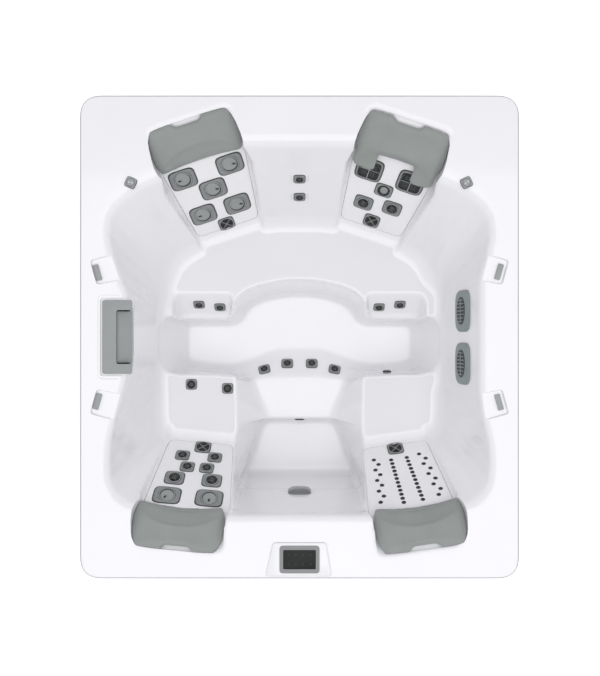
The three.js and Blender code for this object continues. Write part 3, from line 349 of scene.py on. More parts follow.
def noise(tree, scale, detail):
    """Noise at a scale per metre of the object."""
    place = tree.nodes.new("ShaderNodeTexCoord")
    texture = shader_node(tree, "ShaderNodeTexNoise", Scale=scale, Detail=detail,
                          Roughness=0.55)
    tree.links.new(place.outputs["Object"], texture.inputs["Vector"])
    return texture.outputs["Fac"]


def finish(name, color, roughness, grain=900.0, bump=0.05, spread=0.06, cloud=6.0, **sockets):
    """A surface with clouded colour and roughness and a fine bump."""
    material = bpy.data.materials.new(name)
    material.use_nodes = True
    tree = material.node_tree
    shader = set_inputs(tree.nodes["Principled BSDF"], **sockets)
    clouds = noise(tree, cloud, 4)
    shades = tree.nodes.new("ShaderNodeValToRGB")
    tree.links.new(clouds, shades.inputs["Fac"])
    for element, place, share in zip(shades.color_ramp.elements, (0.3, 0.7), (-spread, spread)):
        element.position = place
        element.color = [min(1.0, c * (1 + share)) for c in color] + [1]
    rough = shader_node(tree, "ShaderNodeMapRange", To_Min=max(0.02, roughness * 0.8),
                        To_Max=min(1.0, roughness * 1.2))
    tree.links.new(clouds, rough.inputs["Value"])
    relief = shader_node(tree, "ShaderNodeBump", Strength=bump, Distance=0.0005)
    tree.links.new(noise(tree, grain, 3), relief.inputs["Height"])
    for output, socket in ((shades.outputs["Color"], "Base Color"),
                           (rough.outputs["Result"], "Roughness"),
                           (relief.outputs["Normal"], "Normal")):
        tree.links.new(output, shader.inputs[socket])


finish("acrylic", (0.9, 0.897, 0.911), 0.16, 12, 0.08, 0.008, 3, Coat_Weight=0.5,
       Coat_Roughness=0.06)
# A grey finish for the rim's outer edge: painted shade where the lip rolls over.
finish("lip_edge", (0.42, 0.425, 0.43), 0.3, 12, 0.05, 0.02, 3)
finish("panel_acrylic", (0.9, 0.898, 0.908), 0.2, 300, 0.04, 0.008, 8, Coat_Weight=0.3,
       Coat_Roughness=0.1)
finish("pillow_skin", (0.285, 0.306, 0.291), 0.62, 1600, 0.35, 0.05, 9, Sheen_Weight=0.15,
       Sheen_Roughness=0.5)
finish("lens_plastic", (0.17, 0.18, 0.18), 0.22, 700, 0.1, 0.02, Coat_Weight=0.4)
finish("screen_glass", (0.011, 0.013, 0.013), 0.3, 40, 0.02, Specular_IOR_Level=0.2)
finish("screen_mark", (0.026, 0.031, 0.029), 0.35, 900, 0.05, Specular_IOR_Level=0.2)
finish("cladding", (0.085, 0.09, 0.092), 0.62, 420, 0.5, 0.12, 5)
finish("machine_grey", (0.16, 0.165, 0.17), 0.45, 700, 0.3, Metallic=0.6)
finish("steel", (0.55, 0.56, 0.57), 0.3, 500, 0.15, Metallic=1.0)
finish("timber", (0.45, 0.3, 0.17), 0.7, 180, 0.4, 0.2, 14)
plastics = {
    "bezel_plastic": ((0.255, 0.268, 0.263), 0.36, 1500, 0.12),
    "mid_plastic": ((0.16, 0.167, 0.165), 0.38, 1500, 0.12),
    "hub_plastic": ((0.075, 0.08, 0.08), 0.4, 1500, 0.12),
    "bezel_edge": ((0.045, 0.05, 0.05), 0.42, 1500, 0.12),
    "face_plastic": ((0.315, 0.333, 0.325), 0.34, 1500, 0.1),
    "dark_plastic": ((0.012, 0.013, 0.014), 0.4, 1500, 0.12),
    "pale_plastic": ((0.55, 0.57, 0.565), 0.3, 1500, 0.08),
    "trim_plastic": ((0.305, 0.325, 0.318), 0.45, 1300, 0.2, 0.04),
    "grille_plastic": ((0.25, 0.29, 0.29), 0.45, 1300, 0.2, 0.04),
    "light_bezel": ((0.265, 0.272, 0.27), 0.42, 1300, 0.15, 0.03),
    "black_plastic": ((0.022, 0.023, 0.025), 0.55, 900, 0.25),
    "box_grey": ((0.42, 0.43, 0.43), 0.5, 900, 0.25),
    "filter_cloth": ((0.75, 0.78, 0.8), 0.85, 2500, 0.5),
}
for name, values in plastics.items():
    finish(name, *values)
print(len(bpy.data.materials), "materials")

# %% [markdown]
# The whole shell is one sheet of acrylic, drawn down by vacuum over a mould, so every edge
# is soft. It is modelled the same way round: pockets are cut out of a block, the block is
# remeshed into even small faces, and smoothing those faces rounds every edge at once.
# Plan shapes are written as thousandths of half the tub's width and length.

# %% The shell's driving sizes
shell_low, shell_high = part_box("acrylic_shell")
rim_height = shell_high.z - 8 * MM
half_width, half_length = shell_high.x, shell_high.y
rim_corner = 100 * MM
rim_lip = 60 * MM
wall_top_depth = 20 * MM
wall_crisp_depth = 22 * MM
seat_depth = 480 * MM
ridge_depth = 680 * MM
floor_depth = 780 * MM
ramp_depth = 600 * MM
seat_fillet = 46 * MM
floor_fillet = 34 * MM
ridge_fillet = 22 * MM
rollover = 26 * MM
overrun = 30 * MM


def level(depth):
    """Height of a point so far below the rim."""
    return rim_height - depth


def placed(shares):
    """Points given in thousandths of half the tub's width and length."""
    return [Vector((x / 1000 * half_width, y / 1000 * half_length)) for x, y in shares]


def whole(left, right=None):
    """A left half and its mirror image, or another right half, as one outline."""
    return left + flipped(right or left)[::-1]


print("rim", [round(size, 3) for size in (half_width * 2, half_length * 2, rim_height)])

# %% [markdown]
# The seats get painted shade, so that they look a little greyer than the rim. It is laid on
# where the shell is level and as high as the seats, a little more at the front than at the
# back, so it stops by itself at the foot of the walls and at rolled edges.

# %% Painted shade on the seats
# Painted shade on the seats: the colour kept at the front and back, where each holds, and the
# heights over which it fades.
seat_shade_front, seat_shade_back = 0.82, 0.84
seat_shade_front_y, seat_shade_back_y = -0.35, 0.4
seat_shade_full, seat_shade_gone = 1.5 * MM, 9 * MM
level_from, level_full = 0.965, 0.99


def computed(tree, operation, *sources):
    """A math node whose inputs are other nodes' outputs or plain numbers."""
    node = tree.nodes.new("ShaderNodeMath")
    node.operation = operation
    for socket, source in zip(node.inputs, sources):
        if isinstance(source, (int, float)):
            socket.default_value = source
        else:
            tree.links.new(source, socket)
    return node.outputs["Value"]


def ranged(tree, source, low, high, start, end):
    """A smooth step of a value from one range to another."""
    step = shader_node(tree, "ShaderNodeMapRange", From_Min=low, From_Max=high,
                       To_Min=start, To_Max=end)
    step.interpolation_type = "SMOOTHSTEP"
    tree.links.new(source, step.inputs["Value"])
    return step.outputs["Result"]


def painted_seat_shade(material, height):
    """Paints shade: lowers a material's colour where it lies level at a height."""
    tree = material.node_tree
    place = tree.nodes.new("ShaderNodeTexCoord")
    spot, facing = [tree.nodes.new("ShaderNodeSeparateXYZ") for _ in range(2)]
    tree.links.new(place.outputs["Object"], spot.inputs["Vector"])
    tree.links.new(place.outputs["Normal"], facing.inputs["Vector"])
    away = computed(tree, "ABSOLUTE", computed(tree, "SUBTRACT", spot.outputs["Z"], height))
    near = ranged(tree, away, seat_shade_full, seat_shade_gone, 1, 0)
    flat = ranged(tree, facing.outputs["Z"], level_from, level_full, 0, 1)
    loss = ranged(tree, spot.outputs["Y"], seat_shade_front_y, seat_shade_back_y, 1 - seat_shade_front,
                  1 - seat_shade_back)
    lost = computed(tree, "MULTIPLY", computed(tree, "MULTIPLY", near, flat), loss)
    color = tree.nodes["Principled BSDF"].inputs["Base Color"]
    toned = tree.nodes.new("ShaderNodeVectorMath")
    toned.operation = "SCALE"
    tree.links.new(color.links[0].from_socket, toned.inputs[0])
    tree.links.new(computed(tree, "SUBTRACT", 1, lost), toned.inputs["Scale"])
    tree.links.new(toned.outputs["Vector"], color)


# The acrylic gets painted shade where it lies level at the seats' height.
painted_seat_shade(bpy.data.materials["acrylic"], level(seat_depth))
print("painted seat shade at height", round(level(seat_depth), 3))

# %% [markdown]
# The basin's wall slopes from a broad outline under the rim to a narrower one at the
# seats. On the real tub it is one drawn surface. Two traced outlines and straight lines
# between them are enough, because the smoothing rounds what they leave sharp.

# %% The basin's wall
basin_top_shares = [
    (-128, 795), (-246, 793), (-354, 770), (-463, 734), (-561, 691), (-650, 647),
    (-723, 618), (-779, 588), (-830, 549), (-863, 500), (-872, 430), (-854, 353),
    (-815, 250), (-782, 180), (-778, 60), (-778, -60), (-784, -150), (-811, -250),
    (-844, -353), (-866, -441), (-872, -528), (-866, -601), (-839, -650), (-793, -684),
    (-728, -700), (-610, -711), (-492, -721), (-389, -732), (-340, -739), (-323, -741),
    (-313, -741), (-295, -740), (-148, -738),
]
basin_seat_shares = [
    (-108, 533), (-186, 524), (-285, 498), (-379, 465), (-468, 433), (-543, 401),
    (-602, 365), (-642, 324), (-667, 277), (-682, 234), (-692, 199), (-704, 161),
    (-717, 116), (-727, 63), (-729, 9), (-729, -54), (-729, -116), (-727, -179),
    (-724, -260), (-723, -331), (-720, -385), (-711, -422), (-689, -440), (-657, -446),
    (-610, -449), (-551, -458), (-472, -468), (-394, -478), (-340, -485), (-329, -515),
    (-325, -608), (-319, -713), (-157, -715),
]
right_wall_first = 9
right_top_shares = [(-863, 500), (-872, 430), (-854, 345), (-822, 234), (-822, 163),
                    (-822, 54), (-822, -54), (-822, -224), (-831, -290)]
right_seat_shares = [(-682, 262), (-702, 245), (-724, 222), (-741, 195), (-741, 120),
                     (-741, 30), (-741, -54), (-741, -200), (-741, -215)]


def wall_outline(shares, right_wall_shares):
    """Both halves of an outline; the right side wall stands elsewhere than the left one."""
    left = placed(shares)
    after = right_wall_first + len(right_wall_shares)
    return whole(left, left[:right_wall_first] + placed(right_wall_shares) + left[after:])


basin_top = wall_outline(basin_top_shares, right_top_shares)
basin_seat = wall_outline(basin_seat_shares, right_seat_shares)


def basin_at(depth):
    """The wall's outline at a depth, on the straight slope from top to seat."""
    part = (depth - wall_top_depth) / (seat_depth - wall_top_depth)
    return between(basin_top, basin_seat, part)


fillet_depth = seat_depth - seat_fillet * 1.2
foot_depth = seat_depth - seat_fillet * 0.3
basin_rings = [
    (level(seat_depth), grown(basin_seat, -seat_fillet)),
    (level(foot_depth), grown(basin_at(seat_depth), -seat_fillet * 0.2)),
    (level(fillet_depth), basin_at(fillet_depth)),
    (level(wall_crisp_depth), basin_at(wall_crisp_depth)),
    (level(0), grown(basin_top, rollover)),
    (level(-overrun), grown(basin_top, rollover)),
]
print("basin outline of", len(basin_top), "points")

# %% [markdown]
# Each corner seat has a reclined back with a flat bed for its panel and a shallow shelf
# for its pillow. The bed's axes come from the joint along which the panel lifts off, so
# the shell and the panel can't disagree.

# %% Seat backs
panel_thickness = 10 * MM
panel_ledge = 14 * MM
panel_corner = 34 * MM
corner_share = 0.94
pillow_shelf = 190 * MM
shelf_inset = 26 * MM
bed_margin = 11 * MM


class Bed:
    """Axes and size of one panel: across, along the slope and out of the panel."""

    def __init__(self, key):
        self.key = key
        self.normal = Vector(joints[f"jet_panel_{key}_lift"]["axis"])
        self.along = (UP - self.normal * self.normal.z).normalized()
        self.across = self.along.cross(self.normal)
        self.facing = Vector((self.normal.x, self.normal.y, 0)).normalized()
        self.lean = math.asin(self.normal.z)
        points = [v.co for v in frame["nodes"][f"jet_panel_{key}"].data.vertices]
        us, vs, ns = [[p.dot(axis) for p in points]
                      for axis in (self.across, self.along, self.normal)]
        foot_us = [u for u, v in zip(us, vs) if v < min(vs) + 1 * MM]
        self.top_half = (max(us) - min(us)) / 2
        self.foot_half = (max(foot_us) - min(foot_us)) / 2 + panel_corner * corner_share
        self.height = max(vs) - min(vs)
        self.foot = (self.across * (max(us) + min(us)) / 2 + self.along * min(vs)
                     + self.normal * (min(ns) + panel_thickness))
        self.head = self.foot + self.along * self.height

    def matrix(self, u=0.0, v=0.0):
        """Matrix of something that stands on the panel at (u, v)."""
        turn = turned_to(self.across, self.along, self.normal)
        return Matrix.Translation(self.foot) @ turn @ shift(u, v)

    def outline(self, extra=0.0):
        corners = [(-self.foot_half, 0), (self.foot_half, 0), (self.top_half, self.height),
                   (-self.top_half, self.height)]
        return grown(rounded(corners, panel_corner), extra)


beds = {key: Bed(key) for key in seat_keys}


def seat_back_rings(bed):
    """Plan outlines of a seat back: its slope, its pillow shelf and the rim above."""
    side = Vector((-bed.facing.y, bed.facing.x))
    front = -pillow_shelf * 1.3

    def plan(half, back, near, radius=bed_margin):
        flat = rounded([(-half, near), (half, near), (half, back), (-half, back)], radius, 4)
        return [bed.head.xy + side * p.x - bed.facing.xy * p.y for p in flat]

    def back_at(z):
        return (z - bed.head.z) * math.tan(bed.lean)

    seat_z, soft_z, fillet_z = level(seat_depth), level(foot_depth), level(fillet_depth)
    foot_half, top_half = bed.foot_half + bed_margin, bed.top_half + bed_margin
    low = back_at(seat_z) - seat_fillet * 7
    shelf = plan(top_half - shelf_inset, pillow_shelf - shelf_inset, front, 30 * MM)
    return [
        (seat_z, plan(foot_half - seat_fillet / 2, back_at(seat_z) - seat_fillet, low)),
        (soft_z, plan(foot_half, back_at(soft_z) - seat_fillet * 0.12, low)),
        (fillet_z, plan(foot_half, back_at(fillet_z), low)),
        (bed.head.z, plan(top_half, 0, front)),
        (rim_height - 12 * MM, shelf),
        (rim_height + overrun, shelf),
    ]


for bed in beds.values():
    print(bed.key, "recline", round(math.degrees(bed.lean)), "height", round(bed.height, 3))

# %% [markdown]
# Below the seats lie the main footwell, the low ridge with its four jets, the front
# footwell and a ramp in front of each back seat. Only the left halves are written, since
# the middle line is a mirror. Each pocket is lofted from its floor up to past the seats.

# %% Footwells, ridge and ramps
over_seat = level(seat_depth - overrun)
footwell_seat_shares = [
    (-64, 271), (-128, 262), (-218, 243), (-285, 219), (-330, 183), (-354, 134),
    (-374, 110), (-410, 102), (-630, 102), (-700, 90), (-729, 50), (-729, -100),
    (-700, -160), (-630, -178), (-410, -180), (-354, -182), (-260, -205), (-130, -199),
]
footwell_ridge_shares = [
    (-62, 240), (-124, 232), (-206, 214), (-272, 190), (-316, 155), (-340, 112),
    (-362, 90), (-400, 82), (-610, 82), (-652, 70), (-668, 40), (-668, -100),
    (-652, -142), (-610, -160), (-400, -172), (-350, -186), (-250, -212), (-128, -199),
]
footwell_floor_shares = [
    (-60, 220), (-120, 212), (-196, 196), (-258, 172), (-300, 140), (-324, 100),
    (-348, 80), (-390, 73), (-590, 73), (-622, 62), (-636, 34), (-636, -100),
    (-622, -130), (-590, -146), (-410, -162), (-340, -153), (-240, -120), (-130, -79),
]
footwell_seat = whole(placed(footwell_seat_shares))
footwell_ridge = whole(placed(footwell_ridge_shares))
footwell_floor = whole(placed(footwell_floor_shares))
footwell_rings = [
    (level(floor_depth), grown(footwell_floor, -floor_fillet / 2)),
    (level(floor_depth - floor_fillet), between(footwell_ridge, footwell_floor, 0.7)),
    (level(ridge_depth), footwell_ridge),
    (level(seat_depth), footwell_seat),
    (over_seat, footwell_seat),
]


def pocket_rings(edge, floor, depth, fillet, part):
    """Rings of a pocket: its floor, the start of its wall, and its edge at seat height."""
    return [(level(depth), grown(floor, -fillet / 2)),
            (level(depth - fillet), between(edge, floor, part)),
            (level(seat_depth), edge), (over_seat, edge)]


ridge_edge = whole(placed([(-328, -160), (-328, -300), (-328, -430), (-300, -470)]))
ridge_floor = whole(placed([(-280, -150), (-230, -270), (-178, -370), (-150, -450)]))
ridge_rings = pocket_rings(ridge_edge, ridge_floor, ridge_depth, ridge_fillet, 0.85)
front_edge = whole(placed([
    (-100, -403), (-250, -403), (-318, -413), (-328, -460), (-325, -600), (-319, -700),
    (-300, -715.5), (-140, -715.5),
]))
front_floor = whole(placed([
    (-100, -412), (-165, -412), (-200, -430), (-228, -480), (-270, -580), (-310, -665),
    (-290, -695), (-140, -697),
]))
front_rings = pocket_rings(front_edge, front_floor, floor_depth, floor_fillet, 0.9)
ramp_edge = placed([(-350, 209), (-635, 209), (-660, 170), (-660, 70), (-350, 70)])
ramp_floor = placed([(-375, 108), (-620, 108), (-640, 100), (-640, 70), (-375, 70)])


def ramp_rings(sign):
    rings = [(level(ramp_depth), ramp_floor), (level(seat_depth), ramp_edge),
             (over_seat, ramp_edge)]
    return [(z, flipped(points, sign)) for z, points in rings]


print("footwell", len(footwell_seat), "ridge", len(ridge_edge), "front", len(front_edge))

# %% [markdown]
# The block is the rim's outline drawn down below the deepest floor. Its pockets overlap
# each other, so they are cut one by one. Voxels of a centimetre keep the remeshed shell
# light, and about a dozen smoothing rounds give edges of 20 to 30 mm radius. The lip is
# crisper than that, so the block starts too broad and the lip is trimmed to its own shape.

# %% Rough shell
voxel, smooth_rounds = ((10 * MM, 10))
rim_outline = soft_rectangle(half_width * 2, half_length * 2, rim_corner, 8)
block_floor = shell_low.z - 40 * MM
spare = 40 * MM
rough = prism(grown(rim_outline, spare), block_floor, rim_height)
block = linked("rough_shell", mesh_data("rough_shell", rough))
pocket_shapes = [basin_rings, footwell_rings, ridge_rings, front_rings, ramp_rings(1),
                 ramp_rings(-1)] + [seat_back_rings(bed) for bed in beds.values()]
cut(block, [loft(rings) for rings in pocket_shapes])
evened(block, voxel, smooth_rounds)
lip = [(block_floor - spare, -0.8), (rim_height - 11 * MM, -0.8), (rim_height - 1 * MM, -8),
       (rim_height, -10), (rim_height + spare, -10)]
combine(block, loft([(z, grown(rim_outline, inset * MM)) for z, inset in lip]), "INTERSECT")
print("rough shell", len(block.data.polygons), "faces")

# %% [markdown]
# The pillows are moulded foam with a smooth skin. Each starts from the frame's own
# pillow and is remeshed finely. Its corners are rounded, and the side towards the neck
# is pressed down along a crescent, so that a crest runs across the pillow.

# %% Foam pillows
pillow_voxel = 5 * MM
# In mm: how far a pillow sits sideways and back, and how far its neck side reaches out.
pillow_leans = {"back_left": (-3, -5, 15), "back_right": (-3, -15, 3),
                "front_left": (-22, 4, 30), "front_right": (20, 17, 30)}
# By pair: where the crest runs, as a share of the depth, and the press towards the neck.
pillow_crests = {"back": (0.42, 20), "front": (0.46, 38)}


def pillow_axes(key):
    """The lift direction of a pillow, and the directions sideways and back in its plane."""
    normal = Vector(joints[f"pillow_{key}_lift"]["axis"])
    facing = beds[key].facing
    back = (-facing + normal * facing.dot(normal)).normalized()
    return back.cross(normal), back, normal


def part_way(value, width):
    """How far a value has come from 0 to a width, from 0 to 1."""
    return min(1, max(0, value / width))


def foam_pillow(key):
    """The frame's pillow with round corners, a crest and a pressed neck side."""
    source = bmesh.new()
    source.from_mesh(frame["nodes"][f"pillow_{key}"].data)
    bmesh.ops.remove_doubles(source, verts=source.verts, dist=0.05 * MM)
    obj = linked("foam", mesh_data("foam", source))
    evened(obj, pillow_voxel, 2)
    bm = mesh_of(obj)
    axes = pillow_axes(key)
    _, back, normal = axes
    middle = sum((v.co for v in bm.verts), Vector()) / len(bm.verts)
    us, bs, ns = [[(v.co - middle).dot(axis) for v in bm.verts] for axis in axes]
    # From here u runs sideways, b backwards and n outwards, in shares of the pillow.
    half, near, deep = max(us), min(bs), max(bs) - min(bs)
    low, thick = min(ns), max(ns) - min(ns)
    shares = [(u / half, (b - near) / deep, (n - low) / thick) for u, b, n in zip(us, bs, ns)]
    corner = [v for v, (u, b, n) in zip(bm.verts, shares)
              if abs(u) > 0.66 and (b < 0.22 or b > 0.7)]
    for _ in range(14):
        smoothed(bm, corner, 0.5)
    lean_x, lean_y, neck = pillow_leans[key]
    crest_share, press = pillow_crests[key.split("_")[0]]
    for vert, (u, b, n) in zip(bm.verts, shares):
        above = part_way(n - 0.35, 0.4)
        inner = 1 - min(1, abs(u)) ** 6
        crest = crest_share - 0.3 * u * u
        step = part_way(crest - b, 0.06) * inner
        slope = part_way(crest - b, 0.4) * inner
        hollow = math.exp(-((b - 0.72) / 0.2) ** 2) * inner
        fall = part_way(abs(u) - 0.7, 0.3) ** 2
        sunk = 3.5 * step + press * slope + 4 * hollow + 12 * fall
        notch = 9 * part_way(0.32 - abs(u), 0.05) * part_way(b - 0.8, 0.15)
        reach = neck * max(0, 1 - b / 0.4) * above
        vert.co += (Vector((lean_x, lean_y, 0)) - normal * sunk * above
                    - back * (reach + notch)) * MM
    smoothed(bm, bm.verts, 0.4)
    return bm


foam = {key: foam_pillow(key) for key in seat_keys}
print("foam pillows", [len(bm.faces) for bm in foam.values()])

# %% [markdown]
# What has crisp edges on the real shell is cut after the smoothing: the wells behind the
# panels, the recess and well of the filter, and the four shallow waterfall chutes.

# %% Wells of panels and pillows
visual_gap = 0.7 * MM
panel_well_depth = 68 * MM
pillow_well_height = 240 * MM


def panel_cutters(bed):
    recess = prism(bed.outline(visual_gap), -panel_thickness - 0.5 * MM, overrun)
    well = prism(bed.outline(-panel_ledge), -panel_well_depth, 0)
    return [moved(recess, bed.matrix()), moved(well, bed.matrix())]


def pillow_cutter(key):
    """A well that follows the outline of the pillow in it."""
    side, back, normal = pillow_axes(key)
    points = [v.co for v in foam[key].verts]
    flat = [Vector((q.dot(side), q.dot(back))) for q in points]
    outline = grown([flat[i] for i in geometry.convex_hull_2d(flat)], 1 * MM)
    floor = min(q.dot(normal) for q in points) - 1 * MM
    well = prism(outline, floor, floor + pillow_well_height)
    return moved(well, turned_to(side, back, normal))


for bed in beds.values():
    cut(block, [pillow_cutter(bed.key)] + panel_cutters(bed))
print("shell with wells", len(block.data.polygons), "faces")

# %% Filter well and chutes
filter_low, filter_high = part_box("filter_lid")
well_low, well_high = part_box("filter_cartridge")
weir_low, weir_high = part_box("weir_flap")
filter_margin = 11 * MM
filter_depth = 350 * MM
recess_depth = 14 * MM
well_width = 105 * MM
mouth_width = 137 * MM
mouth_drop = 12 * MM
chute_depth = 14 * MM
chute_left = placed([(-947, 314), (-830, 345), (-790, 243), (-918, 220)])
quarters = [(1, 1), (-1, 1), (1, -1), (-1, -1)]


def brimmed(low, outline, brim):
    """A pocket whose edge widens by a brim up to the rim."""
    return loft([(low, outline), (rim_height, grown(outline, brim)),
                 (rim_height + overrun, grown(outline, brim))])


def filter_cutters():
    """The lid's shallow margin and recess, the well for the cartridge and its mouth."""
    x = (filter_low.x + filter_high.x) / 2 - filter_margin / 2
    lid_length = filter_high.y - filter_low.y
    width = filter_high.x - filter_low.x + filter_margin
    length = lid_length + filter_margin * 2
    recess = prism(shifted(soft_rectangle(width, length, 16 * MM), x),
                   level(recess_depth), rim_height + overrun)
    well_outline = soft_rectangle(well_width, lid_length - 16 * MM, 16 * MM)
    well = prism(shifted(well_outline, (well_low.x + well_high.x) / 2), level(filter_depth),
                 rim_height)
    mouth_height = weir_high.z - weir_low.z + 34 * MM
    mouth = box(mouth_width, weir_high.y - weir_low.y + 20 * MM, mouth_height,
                (filter_high.x + 5 * MM, 0, level(mouth_drop) - mouth_height / 2))
    margin = soft_rectangle(width + filter_margin * 2, length + filter_margin * 2, 24 * MM)
    shallow = brimmed(rim_height - 3 * MM, shifted(margin, x + 4 * MM), 3 * MM)
    return [shallow, recess, well, mouth]


def chute_cutter(sx, sy):
    points = flipped(chute_left, sx, sy)
    if sx * sy < 0:
        points.reverse()
    return brimmed(rim_height - chute_depth, rounded(points, 10 * MM, 3), 5 * MM)


cut(block, filter_cutters() + [chute_cutter(sx, sy) for sx, sy in quarters])
print("cut shell", len(block.data.polygons), "faces")

# %% [markdown]
# The front rim carries a raised ground for the controls. It is lofted from two outlines
# and joined on, and its sloped edge catches the light as the real one does.

# %% Control ground
pod_outline = rounded(placed([(-153, -985), (-122, -856), (-112, -849), (112, -849),
                              (122, -856), (144, -985)]), 12 * MM, 4)
cut(block, [prism(grown(pod_outline, 3 * MM), rim_height - 4 * MM, rim_height + overrun)])
combine(block, loft([(rim_height - 8 * MM, pod_outline), (rim_height + 5 * MM, pod_outline),
                     (rim_height + 8 * MM, grown(pod_outline, -5 * MM))]), "UNION")
print("shell with its control ground", len(block.data.polygons), "faces")

# %% [markdown]
# The block becomes a sheet: everything under the lip and below the floors goes, and what
# is left is the moulded face. The lip gets a short return below, as thick as the wall,
# and a thin grey band of painted shade where its edge rolls over.

# %% Shell as a sheet
sheet_thickness = 11 * MM
lip_low = rim_height - rim_lip
shell_mesh = mesh_of(block)
everything = shell_mesh.verts[:] + shell_mesh.edges[:] + shell_mesh.faces[:]
bmesh.ops.bisect_plane(shell_mesh, geom=everything, plane_co=(0, 0, lip_low), plane_no=UP)


def hidden(face):
    """True on the block's sides under the lip and on its bottom."""
    c = face.calc_center_median()
    outside = abs(c.x) > half_width - 14 * MM or abs(c.y) > half_length - 14 * MM
    corner = Vector((max(0, abs(c.x) - half_width + rim_corner),
                     max(0, abs(c.y) - half_length + rim_corner)))
    outside = outside or corner.length > rim_corner - 30 * MM
    return c.z < lip_low and (outside or c.z < block_floor + 12 * MM)


def on_lip(edge):
    """True on the open edge that runs round under the lip."""
    point = edge.verts[0].co
    outward = max(abs(point.x) / half_width, abs(point.y) / half_length)
    return edge.is_boundary and point.z < lip_low + 1 * MM and outward > 0.94


bmesh.ops.delete(shell_mesh, geom=[f for f in shell_mesh.faces if hidden(f)], context="FACES")
loose = [v for v in shell_mesh.verts if not v.link_faces]
bmesh.ops.delete(shell_mesh, geom=loose, context="VERTS")
lip_edges = [e for e in shell_mesh.edges if on_lip(e)]
made = bmesh.ops.extrude_edge_only(shell_mesh, edges=lip_edges)["geom"]
for vert in {g for g in made if isinstance(g, bmesh.types.BMVert)}:
    vert.co.xy *= 1 - sheet_thickness / half_width
bmesh.ops.recalc_face_normals(shell_mesh, faces=shell_mesh.faces)
shell_surface = BVHTree.FromBMesh(shell_mesh)
# The grey band round the rim's edge is painted shade of the rolled lip.
edge_profile = [(-16, -1.2), (-16, 0), (-11, 0), (-1.2, -7.1), (-1.2, -8.2), (-11.5, -1.2)]
lip_shade_band = moved(ringed([(z, grown(rim_outline, inset * MM)) for z, inset in edge_profile]),
                  shift(z=rim_height))
shell = piece("tub_shell", [(shell_mesh, "acrylic"), (lip_shade_band, "lip_edge")], "tub",
              ["acrylic_shell"])
print("shell", len(shell.data.polygons), "faces")

# %% [markdown]
# A jet panel is a thin plate that lies flush in its bed, with round holes for its jets. A
# narrow joint shows all round it, and the plate's own edge is rounded a little.

# %% Jet panels
def panel_plate(bed, holes):
    """The plate about its own foot, with (u, v, radius) holes."""
    edge = bed.outline(-visual_gap / 2)
    rounding = 1.5 * MM
    plate = loft([(-panel_thickness, edge), (-rounding, edge),
                  (0, bed.outline(-visual_gap / 2 - rounding))])
    drill = [(0, -30), (1, -30), (1, 30), (0, 30)]
    return without(plate, [moved(turned(radius, drill, 24), shift(u, v))
                           for u, v, radius in holes])


# %% [markdown]
# Every jet has a soft square bezel with a dark edge, and in it a round face that turns.
# The bezels belong to the panel. The faces ride on their own bodies, and each kind of
# nozzle gets its own pattern of rings, slots and bars. Profiles are in shares of the
# face's radius and in mm above the plate, and every fitting is built about the origin.

# %% Bezels
def bezel_parts(size, hole, aspect=0.94, skin="bezel_plastic"):
    """A dark foot with a rolled grey frame on it, round a hole of the given outline."""

    def square(share):
        return squircle(size * share, size * share * aspect, power=5)

    foot = [(0.3, hole), (0.4, square(1)), (2.8, square(0.98)), (3.15, hole)]
    roll = [(3.22, hole), (2.94, square(0.915)), (5.25, square(0.905)), (7, square(0.85)),
            (6.86, grown(hole, size * 0.02)), (5.6, hole)]
    return [(ringed(foot), "bezel_edge"), (ringed(roll), skin)]


def bars(count, length, width, low, high, start=0.0):
    """Straight bars through the middle, evenly turned; low and high are in mm."""
    made = []
    for k in range(count):
        bar = box(length, width, (high - low) * MM, (0, 0, (low + high) / 2 * MM))
        made.append(moved(bevelled(bar, width * 0.2), about_z(start + 180 * k / count)))
    return made


def cross_grille(size):
    """The crossed grille at the foot of every panel."""
    bowl = turned(size, [(0, 0.6), (0.34, 0.8), (0.395, 3), (0.395, 0.2), (0, 0.2)], 32)
    hub = turned(size, [(0, 1), (0.1, 1), (0.1, 6), (0.06, 6.6), (0, 5.5)], 20)
    cross = bars(2, size * 0.78, size * 0.075, 2, 5.5, 45)
    return (bezel_parts(size, disc(size * 0.4)) + [(bowl, "dark_plastic")]
            + [(part, "mid_plastic") for part in cross + [hub]])


# %% Turning faces
face_top = 7.8
barrel = [(0.75, -46), (0, -46)]
spoke_turn = math.degrees(0.5)
glint_turn = math.degrees(0.3)


def face_body(radius, inner):
    """A turned face: the inner profile from the axis out, then lip, skirt and barrel."""
    lip_and_skirt = [(0.9, face_top), (0.96, 7), (1, 0.6), (0.75, 0.6)]
    return turned(radius, inner + lip_and_skirt + barrel, 44)


def bowl_parts(radius, hub, port, spots):
    """A dark bowl with thin spokes, a hub of the given share and ports in the hub."""
    bowl = face_body(radius, [(0, 1.8), (0.5, 2.2), (0.78, 5.3), (0.84, face_top)])
    middle = turned(radius, [(0, 6.8), (hub * 0.7, 7.2), (hub, 5.8), (hub, 1.3), (0, 1.3)], 24)
    rim = ringed([(z, disc(radius * share))
                  for z, share in [(4.8, 0.8), (7.4, 0.82), (8.2, 0.9), (6.8, 0.98)]])
    parts = [(bowl, "dark_plastic"), (middle, "hub_plastic"), (rim, "face_plastic")]
    for bar in bars(2, radius * 1.62, radius * 0.1, 4.8, 6.8, spoke_turn):
        parts.append((bar, "hub_plastic"))
    for spot in spots:
        hole = prism(disc(radius * port, radius * spot), 6.3 * MM, 7.4 * MM)
        parts.append((hole, "dark_plastic"))
    return parts


def twin_parts(radius):
    """A bowl with spokes and two ports in its hub."""
    return bowl_parts(radius, 0.36, 0.11, (-0.17, 0.17))


def single_parts(radius):
    """A bowl with spokes and one port."""
    return bowl_parts(radius, 0.34, 0.13, (0,))


